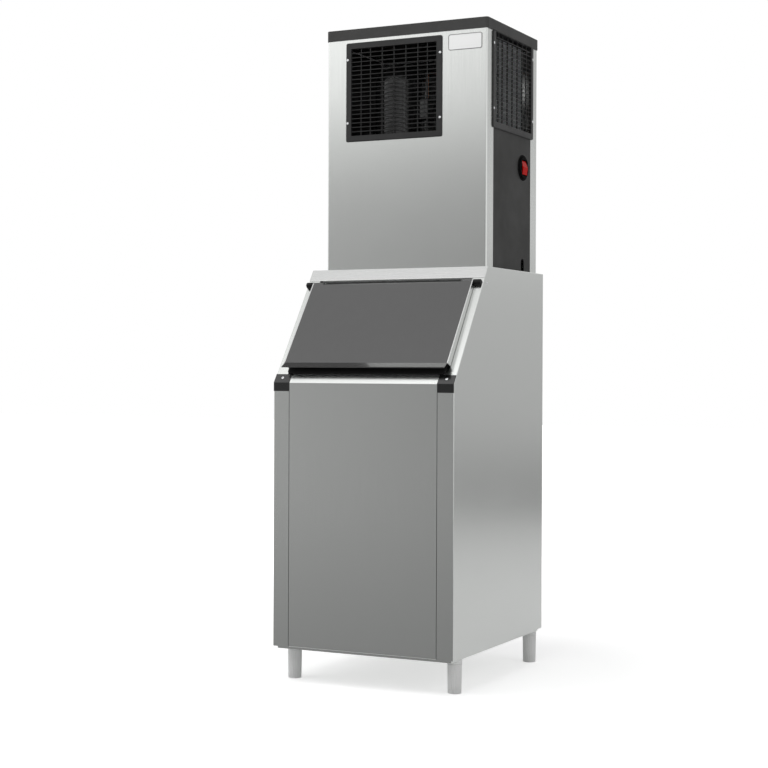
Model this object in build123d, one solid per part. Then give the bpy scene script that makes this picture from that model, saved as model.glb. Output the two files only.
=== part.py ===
from build123d import *
import os
from math import atan2, cos, degrees, hypot, radians, sin

# Millimetres. X is to the right, Y to the back, Z up. The origin is on the floor, under the
# centre of the whole machine: an ice maker's head standing on an insulated storage bin.

# Storage bin
BIN_WIDTH = 560.0
BIN_DEPTH = 660.0
LEG_HEIGHT = 100.0
FRONT_HEIGHT = 747.0
BIN_HEIGHT = 1077.0
SLOPE_SETBACK = 229.0
SHEET = 1.0
BEND = 2.5
CORNER_FLANGE = 50.0
SLOPE_FLANGE = 36.0
FASCIA_HEIGHT = 41.0
SILL_DEPTH = 28.0
FOAM_WALL = 40.0
FLOOR_HEIGHT = 65.0
LINER_WALL = 2.5
BASE_DROP = 7.0
BASE_INSET = 9.0

# Door in the slope, along the slope from its lower edge
PIVOT_ALONG = 340.0
PIVOT_PROUD = 8.0
DOOR_WIDTH = 510.0
DOOR_WALL = 3.0
DOOR_BOTTOM = 33.0
DOOR_TOP = 339.5
DOOR_GAP = 1.5
LIP_BEND = 54.0
GASKET_BOTTOM = 29.0
FLAP_REACH = 350.0
CORE_TOP = 330.0
FLAP_TOP = 4.5
KNUCKLE_RADIUS = 7.5
KNUCKLE_LENGTH = 32.0
PIN_RADIUS = 3.0
PIN_CLEARANCE = 0.05
HINGE_RADIUS = 8.0
HINGE_LENGTH = 22.0

# Head
HEAD_WIDTH = 514.0
HEAD_FRONT = 273.0
LID_HEIGHT = 31.0
LID_OVERHANG = 3.0
LID_CORNER = 9.0
OVERALL_HEIGHT = 1890.0
FRONT_RETURN = 46.0
REAR_RETURN = 52.0
DECK_Z = 1548.0

# Moulded air grilles
GRILLE_WIDTH = 312.0
GRILLE_HEIGHT = 292.0
GRILLE_RIM = 17.5
GRILLE_PLATE = 4.0
GRILLE_DEPTH = 8.0
GRILLE_ROWS = 20
SLAT_THICK = 1.9
SLAT_TILT = 20.0
GRILLE_CORNER = 6.0
BAR_THICK = 2.2
BAR_PLACES = (-115.5, -77.0, -38.5, 0.0, 38.5, 77.0, 115.5)
NARROW_STEP = 8.0
GRILLE_CENTRE_X = -39.0
FRONT_GRILLE_Z = 1557.0
SIDE_GRILLE_Z = 1580.5
SCREW_INSET = 6.0
SCREW_HEIGHTS = (55.0, 242.0)

# Rear connections
REAR_REACH = 22.0
LIP_REACH = 8.0
INLET_RADIUS = 13.2
DRAIN_RADIUS = 13.2
PURGE_RADIUS = 10.5
FITTING_CLEARANCE = 1.0

# Levelling feet
FOOT_TOP_RADIUS = 20.75
FOOT_TOE_RADIUS = 19.0
FOOT_COLLAR = 12.0
FOOT_FLUTES = 20
FOOT_TRAVEL = 20.0
FOOT_GAP = 0.4

HALF = BIN_WIDTH / 2
FRONT_Y = LIP_REACH - (LIP_REACH + BIN_DEPTH + REAR_REACH) / 2
REAR_Y = FRONT_Y + BIN_DEPTH
BASE_Z = LEG_HEIGHT
SLOPE_Z = BASE_Z + FRONT_HEIGHT
TOP_Z = BASE_Z + BIN_HEIGHT
HEAD_Y = FRONT_Y + HEAD_FRONT
HEAD_HALF = HEAD_WIDTH / 2
LID_Z = OVERALL_HEIGHT - LID_HEIGHT
SLOPE_ANGLE = atan2(SLOPE_SETBACK, TOP_Z - SLOPE_Z)
SLOPE_LENGTH = hypot(SLOPE_SETBACK, TOP_Z - SLOPE_Z)
FOAM_FLOOR_Z = BASE_Z + FLOOR_HEIGHT

BIN_DRAIN_Y = REAR_Y - FOAM_WALL - 55
BIN_DRAIN_Z = BASE_Z + 34
FOOT_PLACES = [(side * (HALF - 29), y) for side in (-1, 1) for y in (FRONT_Y + 76, REAR_Y - 29)]

# The hole that the ice falls through, from the head into the bin
DROP_HALF = 170.0
DROP_FRONT = HEAD_Y + 24
DROP_BACK = HEAD_Y + 150

# Inside the head
SIDE_GRILLE_FRONT = HEAD_Y + 37
SIDE_GRILLE_BACK = SIDE_GRILLE_FRONT + GRILLE_WIDTH
SWITCH_Y = HEAD_Y + 276
SWITCH_Z = 1489.0
SWITCH_HOLE = 32.0
SWITCH_DISC = 38.0
ROCKER_HALF = 17.6
ROCKER_TALL = 43.0
ROCKER_TILT = 6.35
SLOT_HALF = 12.0
COMPRESSOR_X = -79.0
COMPRESSOR_Y = HEAD_Y + 130
CONDENSER_FRONT = HEAD_Y + 16
CONDENSER_BACK = HEAD_Y + 292
TUBE_Y = HEAD_Y + 318
FAN_RADIUS = 112.0
FAN_X = HEAD_HALF - 92
FAN_Y = HEAD_Y + 146
FAN_Z = DECK_Z + 156
EVAP_Y = DROP_BACK + 14
EVAP_Z = 1272.0
TROUGH_Z = TOP_Z + 22
CURTAIN_Y = EVAP_Y - 22
CURTAIN_Z = 1526.0
FITTING_Z = 1226.0
INLET_X = -190.0
PURGE_X = -130.0
GLAND_X = 190.0
GLAND_RADIUS = 10.0

# On the slope, X stays X, local y runs up the slope and local z stands proud of it.
SLOPE = Plane(
    origin=(0, FRONT_Y, SLOPE_Z),
    x_dir=(1, 0, 0),
    z_dir=(0, -cos(SLOPE_ANGLE), sin(SLOPE_ANGLE)),
)
# Side outlines are drawn on this plane: local x is Y, local y is Z, and it extrudes to +X.
SIDE = Plane.YZ


def block(x_from, x_to, y_from, y_to, z_from, z_to):
    """A plain rectangular solid between six faces."""
    size = (x_to - x_from, y_to - y_from, z_to - z_from)
    middle = ((x_from + x_to) / 2, (y_from + y_to) / 2, (z_from + z_to) / 2)
    return Pos(*middle) * Box(*size)


def on_slope(shape):
    """Move a shape drawn flat on to the slope."""
    return SLOPE.location * shape


def outline(points, length, plane=SIDE, start=0.0):
    """A closed outline on a plane, extruded along the plane's normal from a distance."""
    face = make_face(Polyline(*points, close=True))
    return extrude(plane.offset(start) * face, amount=length)


def folded(points, length, plane=SIDE, start=0.0, thickness=SHEET, radius=BEND):
    """A sheet bent along a centre line, with true bend radii."""
    section = trace(FilletPolyline(*points, radius=radius), thickness)
    return extrude(plane.offset(start) * section, amount=length)


def slope_point(along, proud):
    """The Y and Z of a place given by its distance up the slope and out of it."""
    return (
        FRONT_Y + along * sin(SLOPE_ANGLE) - proud * cos(SLOPE_ANGLE),
        SLOPE_Z + along * cos(SLOPE_ANGLE) + proud * sin(SLOPE_ANGLE),
    )


def rod(radius, length, centre, axis):
    """A round bar centred on a point, along X, Y or Z."""
    turn = {"X": Rot(0, 90, 0), "Y": Rot(90, 0, 0), "Z": Rot(0, 0, 0)}[axis]
    return Pos(*centre) * turn * Cylinder(radius, length)


def bin_outline(inset, top_inset=None):
    """The bin's side outline, moved in from the outside by an even distance."""
    top = inset if top_inset is None else top_inset
    run = inset * (1 - sin(SLOPE_ANGLE)) / cos(SLOPE_ANGLE)
    top_run = (inset - top * sin(SLOPE_ANGLE)) / cos(SLOPE_ANGLE)
    return [
        (FRONT_Y + inset, BASE_Z + inset),
        (REAR_Y - inset, BASE_Z + inset),
        (REAR_Y - inset, TOP_Z - top),
        (FRONT_Y + SLOPE_SETBACK + top_run, TOP_Z - top),
        (FRONT_Y + inset, SLOPE_Z - run),
    ]


def bin_side_panel(side):
    """An outer side of the bin: one sheet folded round the front, slope, top and back."""
    depth = CORNER_FLANGE - 0.75
    left = -HALF
    solid = outline(bin_outline(0), depth, start=left)
    outer = solid.faces().sort_by(Axis.X)[0]
    solid = fillet(outer.edges(), BEND)
    inner = solid.faces().sort_by(Axis.X)[-1]
    panel = offset(solid, amount=-SHEET, openings=[inner])
    slope_trim = block(left + SLOPE_FLANGE, left + 80, 0.6, 500, -20, 10)
    panel -= on_slope(slope_trim)
    panel -= block(left + 15, left + 80, FRONT_Y + BEND + 1, REAR_Y + 5, BASE_Z - 5, BASE_Z + 30)
    panel -= block(left + 20, left + 80, REAR_Y - 5, REAR_Y + 5, BASE_Z - 5, TOP_Z + 5)
    panel -= block(left + 20, left + 80, FRONT_Y + SLOPE_SETBACK - 10, REAR_Y + 5, TOP_Z - 5, TOP_Z + 5)
    return panel if side < 0 else mirror(panel, about=Plane.YZ)


def bin_front_panel():
    """The front sheet: its top edge is folded back up the slope as the sill, then down."""
    half = HALF - CORNER_FLANGE - 0.75
    y = FRONT_Y + SHEET / 2
    path = [
        (y + 14, BASE_Z + 1.0),
        (y, BASE_Z + 1.0),
        (y, SLOPE_Z - 0.3),
        slope_point(SILL_DEPTH, -SHEET / 2),
        slope_point(SILL_DEPTH, -10),
    ]
    return folded(path, 2 * half, start=-half)


def bin_rear_panel():
    """The flat back sheet, behind the side panels' rear returns."""
    half = HALF - SHEET - 1.7
    panel = block(-half, half, REAR_Y - 2.05 * SHEET, REAR_Y - 1.05 * SHEET, BASE_Z + 4, TOP_Z - 4)
    return panel - rod(DRAIN_RADIUS + 4, 20, (0, REAR_Y, BIN_DRAIN_Z), "Y")


def bin_fascia():
    """The bright strip above the door, folded in at its lower edge and on to the top."""
    half = HALF - 0.2
    path = [
        (SLOPE_LENGTH - FASCIA_HEIGHT, -12.0),
        (SLOPE_LENGTH - FASCIA_HEIGHT, SHEET / 2 + 0.1),
        (SLOPE_LENGTH - 1.0, SHEET / 2 + 0.1),
    ]
    section = trace(FilletPolyline(*path, radius=BEND), SHEET)
    along_x = Plane(origin=SLOPE.origin, x_dir=SLOPE.y_dir, z_dir=(1, 0, 0))
    strip = extrude(along_x.offset(-half) * section, amount=2 * half)
    for side in (-1, 1):
        inset = block(side * (HALF - SLOPE_FLANGE / 2) - SLOPE_FLANGE / 2 - 0.3,
                      side * (HALF - SLOPE_FLANGE / 2) + SLOPE_FLANGE / 2 + 0.3,
                      300, 420, -30, 0.05)
        strip -= on_slope(inset)
    return strip


def bin_top_deck():
    """The sheet that closes the bin, with the hole that the ice falls through."""
    half = HALF - 21.0
    front = FRONT_Y + SLOPE_SETBACK + 1.5
    deck = block(-half, half, front, REAR_Y - 21, TOP_Z - SHEET, TOP_Z)
    drop = block(-DROP_HALF, DROP_HALF, DROP_FRONT, DROP_BACK, TOP_Z - 10, TOP_Z + 10)
    drop = fillet(drop.edges().filter_by(Axis.Z), 12)
    return deck - drop


def liner_solid():
    """The space that the tub takes up, with its two rear corners rounded."""
    y_front = FRONT_Y + FOAM_WALL
    y_back = REAR_Y - FOAM_WALL
    floor = FOAM_FLOOR_Z
    mouth_top = SLOPE_LENGTH - FASCIA_HEIGHT - 6
    mouth_low = SILL_DEPTH + 5
    points = [
        (y_front, floor),
        (y_back, floor),
        (y_back, TOP_Z - 1.3),
        (FRONT_Y + SLOPE_SETBACK + 22, TOP_Z - 1.3),
        slope_point(mouth_top + 1, -19),
        slope_point(mouth_top, -1.7),
        slope_point(mouth_low, -1.7),
        slope_point(mouth_low, -16),
        (y_front, SLOPE_Z - 30),
    ]
    half = HALF - FOAM_WALL
    tub = outline(points, 2 * half, start=-half)
    uprights = tub.edges().filter_by(Axis.Z).sort_by(Axis.Y)
    return fillet(uprights[-2:], 30)


def bin_liner():
    """The moulded white tub: open on the slope for the scoop and at the top for the ice."""
    tub = liner_solid()
    top = tub.faces().sort_by(Axis.Z)[-1]
    mouth = tub.faces().sort_by(lambda face: -face.normal_at().dot(SLOPE.z_dir))[0]
    tub = offset(tub, amount=-LINER_WALL, openings=[top, mouth])
    return tub - rod(DRAIN_RADIUS, 30, (0, BIN_DRAIN_Y, FOAM_FLOOR_Z), "Z")


def bin_insulation():
    """Foam filling the walls between the outer sheets and the tub."""
    foam = outline(bin_outline(SHEET * 2.2), BIN_WIDTH - 5, start=-(BIN_WIDTH - 5) / 2)
    half = HALF - FOAM_WALL
    foam -= liner_solid()
    foam -= on_slope(block(-half - 4.2, half + 4.2, 0, SLOPE_LENGTH + 3, -16, 10))
    foam -= block(-half - 12, half + 12, FRONT_Y, FRONT_Y + 20, BASE_Z, BASE_Z + 8)
    for x, y in FOOT_PLACES:
        foam -= rod(14, 60, (x, y, BASE_Z + 10), "Z")
    foam -= block(-24, 24, BIN_DRAIN_Y - 24, REAR_Y, BIN_DRAIN_Z - 20, FOAM_FLOOR_Z + 5)
    return foam


def bin_base():
    """The shallow steel tray under the cabinet that carries the feet."""
    half = HALF - BASE_INSET
    tray = block(-half, half, FRONT_Y + BASE_INSET, REAR_Y - BASE_INSET, BASE_Z - BASE_DROP, BASE_Z - 0.2)
    tray = fillet(tray.edges().filter_by(Axis.Z), 3)
    top = tray.faces().sort_by(Axis.Z)[-1]
    tray = offset(tray, amount=-1.5, openings=[top])
    for x, y in FOOT_PLACES:
        tray -= rod(10.2, 40, (x, y, BASE_Z), "Z")
    return tray


def corner_cap(side):
    """The black moulded cover over the bend of the front panel at each side."""
    width = CORNER_FLANGE
    proud = 1.6
    drop = 24.0
    path = [
        (FRONT_Y - proud / 2 - 0.08, SLOPE_Z - drop),
        (FRONT_Y - proud / 2 - 0.08, SLOPE_Z + 0.45),
        slope_point(SILL_DEPTH, proud / 2 + 0.08),
    ]
    cap = folded(path, width, start=-HALF, thickness=proud, radius=3)
    cap = fillet(cap.faces().sort_by(Axis.Y)[0].edges().filter_by(Axis.Z), 1.2)
    screw = on_slope(Pos(-HALF + CORNER_FLANGE / 2, 15, 0) * Cylinder(2.5, 12))
    cap -= screw
    return cap if side < 0 else mirror(cap, about=Plane.YZ)


def cap_screws():
    """The bright pan-head screw in each corner cap."""
    heads = []
    for side in (-1, 1):
        place = Pos(side * (HALF - CORNER_FLANGE / 2), 15, 0)
        head = Pos(0, 0, 2.5) * Cylinder(4.2, 1.4)
        head = fillet(head.edges().sort_by(Axis.Z)[-1], 1.1)
        heads.append(on_slope(place * (head + Pos(0, 0, 1.0) * Cylinder(2.45, 1.6))))
    return Compound(children=heads)


def door_section():
    """The door's outer skin in section: top return, face, and the lip flared out as a handle."""
    path = [
        (DOOR_TOP - DOOR_WALL / 2, FLAP_TOP + 0.1),
        (DOOR_TOP - DOOR_WALL / 2, PIVOT_PROUD + 6.0),
        (LIP_BEND, 20.0),
        (DOOR_BOTTOM, 30.0),
    ]
    return trace(FilletPolyline(*path, radius=4.0), DOOR_WALL)


def knuckle(x_from, x_to):
    """The half-round ear at the door's top corner, which turns about the hinge pin."""
    middle = (x_from + x_to) / 2
    ear = rod(KNUCKLE_RADIUS, x_to - x_from, (middle, PIVOT_ALONG, PIVOT_PROUD), "X")
    ear += block(x_from, x_to, DOOR_TOP - 9, PIVOT_ALONG, PIVOT_PROUD - KNUCKLE_RADIUS,
                 PIVOT_PROUD + KNUCKLE_RADIUS)
    return ear - rod(PIN_RADIUS, 2 * KNUCKLE_LENGTH, (middle, PIVOT_ALONG, PIVOT_PROUD), "X")


def door_shell():
    """The dark moulded door: a shallow tray with a flared lip and an ear at each top corner."""
    half = DOOR_WIDTH / 2 - DOOR_WALL
    along_x = Plane(origin=SLOPE.origin, x_dir=SLOPE.y_dir, z_dir=(1, 0, 0))
    shell = extrude(along_x.offset(-half) * door_section(), amount=2 * half)
    for x in (-half, half - KNUCKLE_LENGTH):
        room = block(x, x + KNUCKLE_LENGTH, DOOR_TOP - 9, PIVOT_ALONG + 20, -5, 40)
        shell = shell - on_slope(room) + on_slope(knuckle(x, x + KNUCKLE_LENGTH))
    return shell


def door_cheeks():
    """The bright steel end plate at each side of the door."""
    half = DOOR_WIDTH / 2
    side_outline = [
        (DOOR_TOP - 9, DOOR_GAP),
        (DOOR_TOP - 9, PIVOT_PROUD + KNUCKLE_RADIUS),
        (LIP_BEND, 21.5),
        (LIP_BEND, 18.0),
        (LIP_BEND + 4, DOOR_GAP),
    ]
    along_x = Plane(origin=SLOPE.origin, x_dir=SLOPE.y_dir, z_dir=(1, 0, 0))
    plates = []
    for x in (-half, half - DOOR_WALL + 0.05):
        plate = outline(side_outline, DOOR_WALL - 0.05, plane=along_x, start=x)
        plates.append(plate + on_slope(knuckle(x, x + DOOR_WALL - 0.05)))
    return Compound(children=plates)


def door_core():
    """The insulated inner half of the door, with a thin flap that hides the gap over the door."""
    half = HALF - SLOPE_FLANGE - 12
    points = [(47, -8), (CORE_TOP, -8), (CORE_TOP, 11.6), (67, 17.6), (49, 17.6)]
    along_x = Plane(origin=SLOPE.origin, x_dir=SLOPE.y_dir, z_dir=(1, 0, 0))
    core = outline(points, 2 * half, plane=along_x, start=-half)
    inner = core.faces().sort_by(lambda face: face.center().dot(SLOPE.z_dir))[0]
    core = fillet(inner.edges(), 5)
    ear = DOOR_WIDTH / 2 - DOOR_WALL - KNUCKLE_LENGTH - 0.5
    return core + on_slope(block(-ear, ear, CORE_TOP - 5, FLAP_REACH, 0.5, FLAP_TOP))


def door_gasket():
    """The soft black seal round the door's core, just clear of the frame."""
    half = HALF - SLOPE_FLANGE - 12
    ring = block(-half - 12, half + 12, GASKET_BOTTOM, CORE_TOP - 9, 0.5, 4.5)
    ring = fillet(ring.edges().filter_by(lambda edge: abs(edge.tangent_at(0).Z) > 0.9), 8)
    ring -= block(-half - 0.02, half + 0.02, 47, CORE_TOP + 0.02, -1, 10)
    return on_slope(ring)


def door_pins():
    """The two steel pivot pins pressed into the door's ears."""
    inner = DOOR_WIDTH / 2 - DOOR_WALL - KNUCKLE_LENGTH
    outer = HALF - 5
    length = outer - inner
    pins = [rod(PIN_RADIUS, length, (side * (inner + length / 2), PIVOT_ALONG, PIVOT_PROUD), "X")
            for side in (-1, 1)]
    return on_slope(Compound(children=pins))


def hinge_block(side):
    """The black moulded bearing that is screwed to the frame for the door's pin."""
    x = side * (HALF - 2 - HINGE_LENGTH / 2)
    body = rod(HINGE_RADIUS, HINGE_LENGTH, (x, PIVOT_ALONG, PIVOT_PROUD), "X")
    body += block(x - HINGE_LENGTH / 2, x + HINGE_LENGTH / 2, PIVOT_ALONG - HINGE_RADIUS,
                  PIVOT_ALONG + HINGE_RADIUS, 0.02, PIVOT_PROUD)
    ends = body.faces().filter_by(Axis.X).sort_by(Axis.X)
    outer = ends[-1] if side > 0 else ends[0]
    body = fillet(outer.edges(), 3)
    bore = rod(PIN_RADIUS + PIN_CLEARANCE, 28, (x - side * 4, PIVOT_ALONG, PIVOT_PROUD), "X")
    return on_slope(body - bore)


def hinge_rivets():
    """The domed rivet through each side that holds the bearing's backing plate."""
    rivets = []
    y = FRONT_Y + 360 * sin(SLOPE_ANGLE) + 24 * cos(SLOPE_ANGLE)
    z = SLOPE_Z + 360 * cos(SLOPE_ANGLE) - 24 * sin(SLOPE_ANGLE)
    for side in (-1, 1):
        dome = Pos(side * HALF, y, z) * Rot(0, side * 90, 0) * Pos(0, 0, 0.4) * Cylinder(3.5, 0.8)
        rivets.append(dome)
    return Compound(children=rivets)


def bin_drain():
    """The waste fitting: a flanged tube in the tub's floor, turned to a threaded spigot."""
    floor = FOAM_FLOOR_Z + LINER_WALL
    reach = REAR_Y + REAR_REACH - 2
    path = FilletPolyline((0, BIN_DRAIN_Y, floor + 2), (0, BIN_DRAIN_Y, BIN_DRAIN_Z), (0, reach, BIN_DRAIN_Z),
                          radius=16)
    tube = sweep(Plane(path @ 0, z_dir=path % 0) * Circle(DRAIN_RADIUS - 0.1), path=path)
    tube += Pos(0, BIN_DRAIN_Y, floor + 1.1) * Cylinder(24, 2)
    tube += rod(20, 4, (0, REAR_Y + 1.0, BIN_DRAIN_Z), "Y")
    hollow = sweep(Plane(path @ 0, z_dir=path % 0) * Circle(DRAIN_RADIUS - 3), path=path)
    return tube - hollow


def foot(x, y):
    """A levelling foot: a tapered, fluted plastic toe on a steel screw."""
    top = BASE_Z - BASE_DROP - FOOT_COLLAR - FOOT_GAP
    rings = []
    for radius, z in ((FOOT_TOE_RADIUS, 4.0), (FOOT_TOP_RADIUS - 0.6, top - 3)):
        ring = Circle(radius) - PolarLocations(radius + 0.5, FOOT_FLUTES) * Circle(1.5)
        rings.append(Plane.XY.offset(z) * ring)
    body = loft(rings, ruled=True)
    toe = Pos(0, 0, 2.5) * Cylinder(FOOT_TOE_RADIUS - 0.2, 5)
    body += chamfer(toe.edges().sort_by(Axis.Z)[0], 1.2)
    body += Pos(0, 0, top - 2) * Cylinder(FOOT_TOP_RADIUS - 0.6, 4)
    body += Pos(0, 0, top + 14) * Cylinder(6, 30)
    return Pos(x, y, 0) * body


def foot_socket(x, y):
    """The collar under the cabinet that the foot's screw runs in."""
    low = BASE_Z - BASE_DROP - FOOT_COLLAR
    collar = Pos(0, 0, low + FOOT_COLLAR / 2) * Cylinder(FOOT_TOP_RADIUS, FOOT_COLLAR)
    collar = fillet(collar.edges().sort_by(Axis.Z)[0], 1.5)
    collar += Pos(0, 0, low + FOOT_COLLAR + 14) * Cylinder(10.1, 28)
    collar -= Pos(0, 0, low + 17) * Cylinder(6.08, 36)
    return Pos(x, y, 0) * collar


def head_front_panel():
    """The head's front: one sheet folded back round both sides, with the grille's window."""
    x = HEAD_HALF - SHEET / 2
    y = HEAD_Y + SHEET / 2
    path = [(-x, y + FRONT_RETURN), (-x, y), (x, y), (x, y + FRONT_RETURN)]
    panel = folded(path, LID_Z - TOP_Z - 0.4, plane=Plane.XY, start=TOP_Z + 0.2, radius=4.0)
    window_x = GRILLE_WIDTH / 2 - GRILLE_RIM + 2
    return panel - block(GRILLE_CENTRE_X - window_x, GRILLE_CENTRE_X + window_x, HEAD_Y - 10, HEAD_Y + 10,
                         FRONT_GRILLE_Z + GRILLE_RIM - 2, FRONT_GRILLE_Z + GRILLE_HEIGHT - GRILLE_RIM + 2)


def head_rear_panel():
    """The head's back: one sheet folded forward round both sides, with its fitting holes."""
    x = HEAD_HALF - SHEET / 2
    y = REAR_Y - SHEET / 2
    path = [(-x, y - REAR_RETURN), (-x, y), (x, y), (x, y - REAR_RETURN)]
    panel = folded(path, LID_Z - TOP_Z - 0.4, plane=Plane.XY, start=TOP_Z + 0.2, radius=4.0)
    panel -= rod(INLET_RADIUS + FITTING_CLEARANCE, 30, (INLET_X, REAR_Y, FITTING_Z), "Y")
    panel -= rod(PURGE_RADIUS + FITTING_CLEARANCE, 30, (PURGE_X, REAR_Y, FITTING_Z), "Y")
    panel -= rod(GLAND_RADIUS, 30, (GLAND_X, REAR_Y, FITTING_Z), "Y")
    return panel


def head_side_panel(side):
    """A dark painted side sheet, held behind the bright corner returns."""
    front = HEAD_Y + FRONT_RETURN - 12
    back = REAR_Y - REAR_RETURN + 12
    x = HEAD_HALF - 2 * SHEET - 0.1
    panel = block(x, x + SHEET, front, back, TOP_Z + 0.3, LID_Z - 0.3)
    if side > 0:
        y = (SIDE_GRILLE_FRONT + SIDE_GRILLE_BACK) / 2
        half = GRILLE_WIDTH / 2 - GRILLE_RIM + 2
        panel -= block(x - 5, x + 5, y - half, y + half, SIDE_GRILLE_Z + GRILLE_RIM - 2, LID_Z + 5)
        panel -= rod(SWITCH_HOLE, 20, (x, SWITCH_Y, SWITCH_Z), "X")
        slot = block(x - 5, x + 5, SWITCH_Y - SLOT_HALF, SWITCH_Y + SLOT_HALF, TOP_Z - 20, TOP_Z + 40)
        panel -= fillet(slot.edges().filter_by(Axis.X).sort_by(Axis.Z)[-2:], 11.5)
        return panel
    return mirror(panel, about=Plane.YZ)


def head_lid():
    """The charcoal top cover: a shallow moulded tray turned over the head."""
    half = HEAD_HALF + LID_OVERHANG
    front = HEAD_Y - LID_OVERHANG
    back = REAR_Y + LID_OVERHANG
    lid = block(-half, half, front, back, LID_Z, OVERALL_HEIGHT)
    lid = fillet(lid.edges().filter_by(Axis.Z), LID_CORNER)
    lid = fillet(lid.faces().sort_by(Axis.Z)[-1].edges(), 1.5)
    under = lid.faces().sort_by(Axis.Z)[0]
    return offset(lid, amount=-3.0, openings=[under])


def head_top_frame():
    """The bright angle rail round the top of the head, which the lid sits on."""
    x = HEAD_HALF - 2 * SHEET - 0.7
    front = HEAD_Y + 1.6
    back = REAR_Y - 1.6
    ring = block(-x, x, front, back, LID_Z - 6, LID_Z + 4)
    ring -= block(-x + 10, x - 10, front + 10, back - 10, LID_Z - 10, LID_Z + 10)
    ring -= block(-x + 1.2, x - 1.2, front + 1.2, back - 1.2, LID_Z - 10, LID_Z + 2.8)
    ring -= block(HEAD_HALF - 6.2, HEAD_HALF, SIDE_GRILLE_FRONT + 14, SIDE_GRILLE_BACK - 14, LID_Z - 7, LID_Z + 0.4)
    return ring


def head_base():
    """The drip tray at the foot of the head, with a raised hole for the falling ice."""
    x = HEAD_HALF - 3.5
    tray = block(-x, x, HEAD_Y + 2.2, REAR_Y - 2.2, TOP_Z + 0.5, TOP_Z + 20)
    top = tray.faces().sort_by(Axis.Z)[-1]
    tray = offset(tray, amount=-1.5, openings=[top])
    collar = block(-DROP_HALF - 2, DROP_HALF + 2, DROP_FRONT - 2, DROP_BACK + 2, TOP_Z + 0.5, TOP_Z + 14)
    collar = fillet(collar.edges().filter_by(Axis.Z), 14)
    hole = block(-DROP_HALF, DROP_HALF, DROP_FRONT, DROP_BACK, TOP_Z - 5, TOP_Z + 30)
    hole = fillet(hole.edges().filter_by(Axis.Z), 12)
    slot = block(x - 5, x + 5, SWITCH_Y - SLOT_HALF, SWITCH_Y + SLOT_HALF, TOP_Z + 2.0, TOP_Z + 30)
    return tray + collar - hole - slot


def head_deck():
    """The folded shelf that parts the wet space below from the condensing unit above."""
    x = HEAD_HALF - 3.5
    y = (HEAD_Y + 2.4, REAR_Y - 2.4)
    path = [(y[0] + 0.6, DECK_Z - 18), (y[0] + 0.6, DECK_Z - 0.6), (y[1] - 0.6, DECK_Z - 0.6),
            (y[1] - 0.6, DECK_Z - 18)]
    return folded(path, 2 * x, start=-x, thickness=1.2)


def grille(height, top_rim):
    """A moulded louvre grille, drawn flat: x across, y up from its lower edge, z outwards."""
    width = GRILLE_WIDTH
    open_half = width / 2 - GRILLE_RIM
    open_low = GRILLE_RIM
    open_high = height - top_rim
    plate = Pos(0, height / 2, GRILLE_PLATE / 2) * Box(width, height, GRILLE_PLATE)
    plate = fillet(plate.edges().filter_by(Axis.Z), GRILLE_CORNER)
    plate = chamfer(plate.faces().sort_by(Axis.Z)[-1].edges(), 2.2)
    middle = (open_low + open_high) / 2
    opening = open_high - open_low
    plate -= Pos(0, middle, 0) * Box(2 * open_half, opening, 30)
    collar = Pos(0, middle, -2.5) * Box(2 * open_half + 3.2, opening + 3.2, 5)
    collar -= Pos(0, middle, 0) * Box(2 * open_half, opening, 30)
    pitch = opening / GRILLE_ROWS
    slat = Rot(SLAT_TILT, 0, 0) * Box(2 * open_half + 1, SLAT_THICK, GRILLE_DEPTH - 1.5)
    slats = [Pos(0, open_low + pitch * row, -1.2) * slat for row in range(1, GRILLE_ROWS)]
    bars = []
    for place in BAR_PLACES:
        shift = NARROW_STEP if abs(place) > 100 else 0.0
        x = place - shift if place > 0 else place + shift
        bars.append(Pos(x, middle, -2.2) * Box(BAR_THICK, opening + 1, GRILLE_DEPTH - 4.6))
    body = Part() + [plate, collar] + slats + bars
    for side in (-1, 1):
        for y in SCREW_HEIGHTS:
            body -= Pos(side * (width / 2 - SCREW_INSET), y, 0) * Cylinder(2.0, 30)
    return body


def grille_screws():
    """The pan-head screws of both grilles, four in each."""
    heads = []
    for plane in (front_grille_plane(), side_grille_plane()):
        for side in (-1, 1):
            for y in SCREW_HEIGHTS:
                head = Pos(0, 0, GRILLE_PLATE + 0.7) * Cylinder(3.6, 1.3)
                head = fillet(head.edges().sort_by(Axis.Z)[-1], 1.0)
                shank = Pos(0, 0, (GRILLE_PLATE - 0.1) / 2 + 0.1) * Cylinder(1.95, GRILLE_PLATE)
                place = Pos(side * (GRILLE_WIDTH / 2 - SCREW_INSET), y, 0)
                heads.append(plane.location * place * (head + shank))
    return Compound(children=heads)


def switch_housing():
    """The round moulded guard of the power switch, with a low ring round its pocket."""
    x = HEAD_HALF - SHEET - 0.1
    flange = Pos(1.5, 0, 0) * Rot(0, 90, 0) * Cylinder(SWITCH_DISC, 3)
    flange = fillet(flange.edges().sort_by(Axis.X)[-1], 2)
    guard = Pos(3, 0, 0) * Rot(0, 90, 0) * Cylinder(SWITCH_DISC - 5, 6)
    guard = fillet(guard.edges().sort_by(Axis.X)[-1], 2)
    barrel = Pos(-12, 0, 0) * Rot(0, 90, 0) * Cylinder(SWITCH_HOLE - 0.3, 24.1)
    body = flange + guard + barrel
    body -= Pos(6, 0, 0) * Box(20, 2 * ROCKER_HALF + 1.8, ROCKER_TALL + 3)
    return Pos(x, SWITCH_Y, SWITCH_Z) * body


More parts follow.
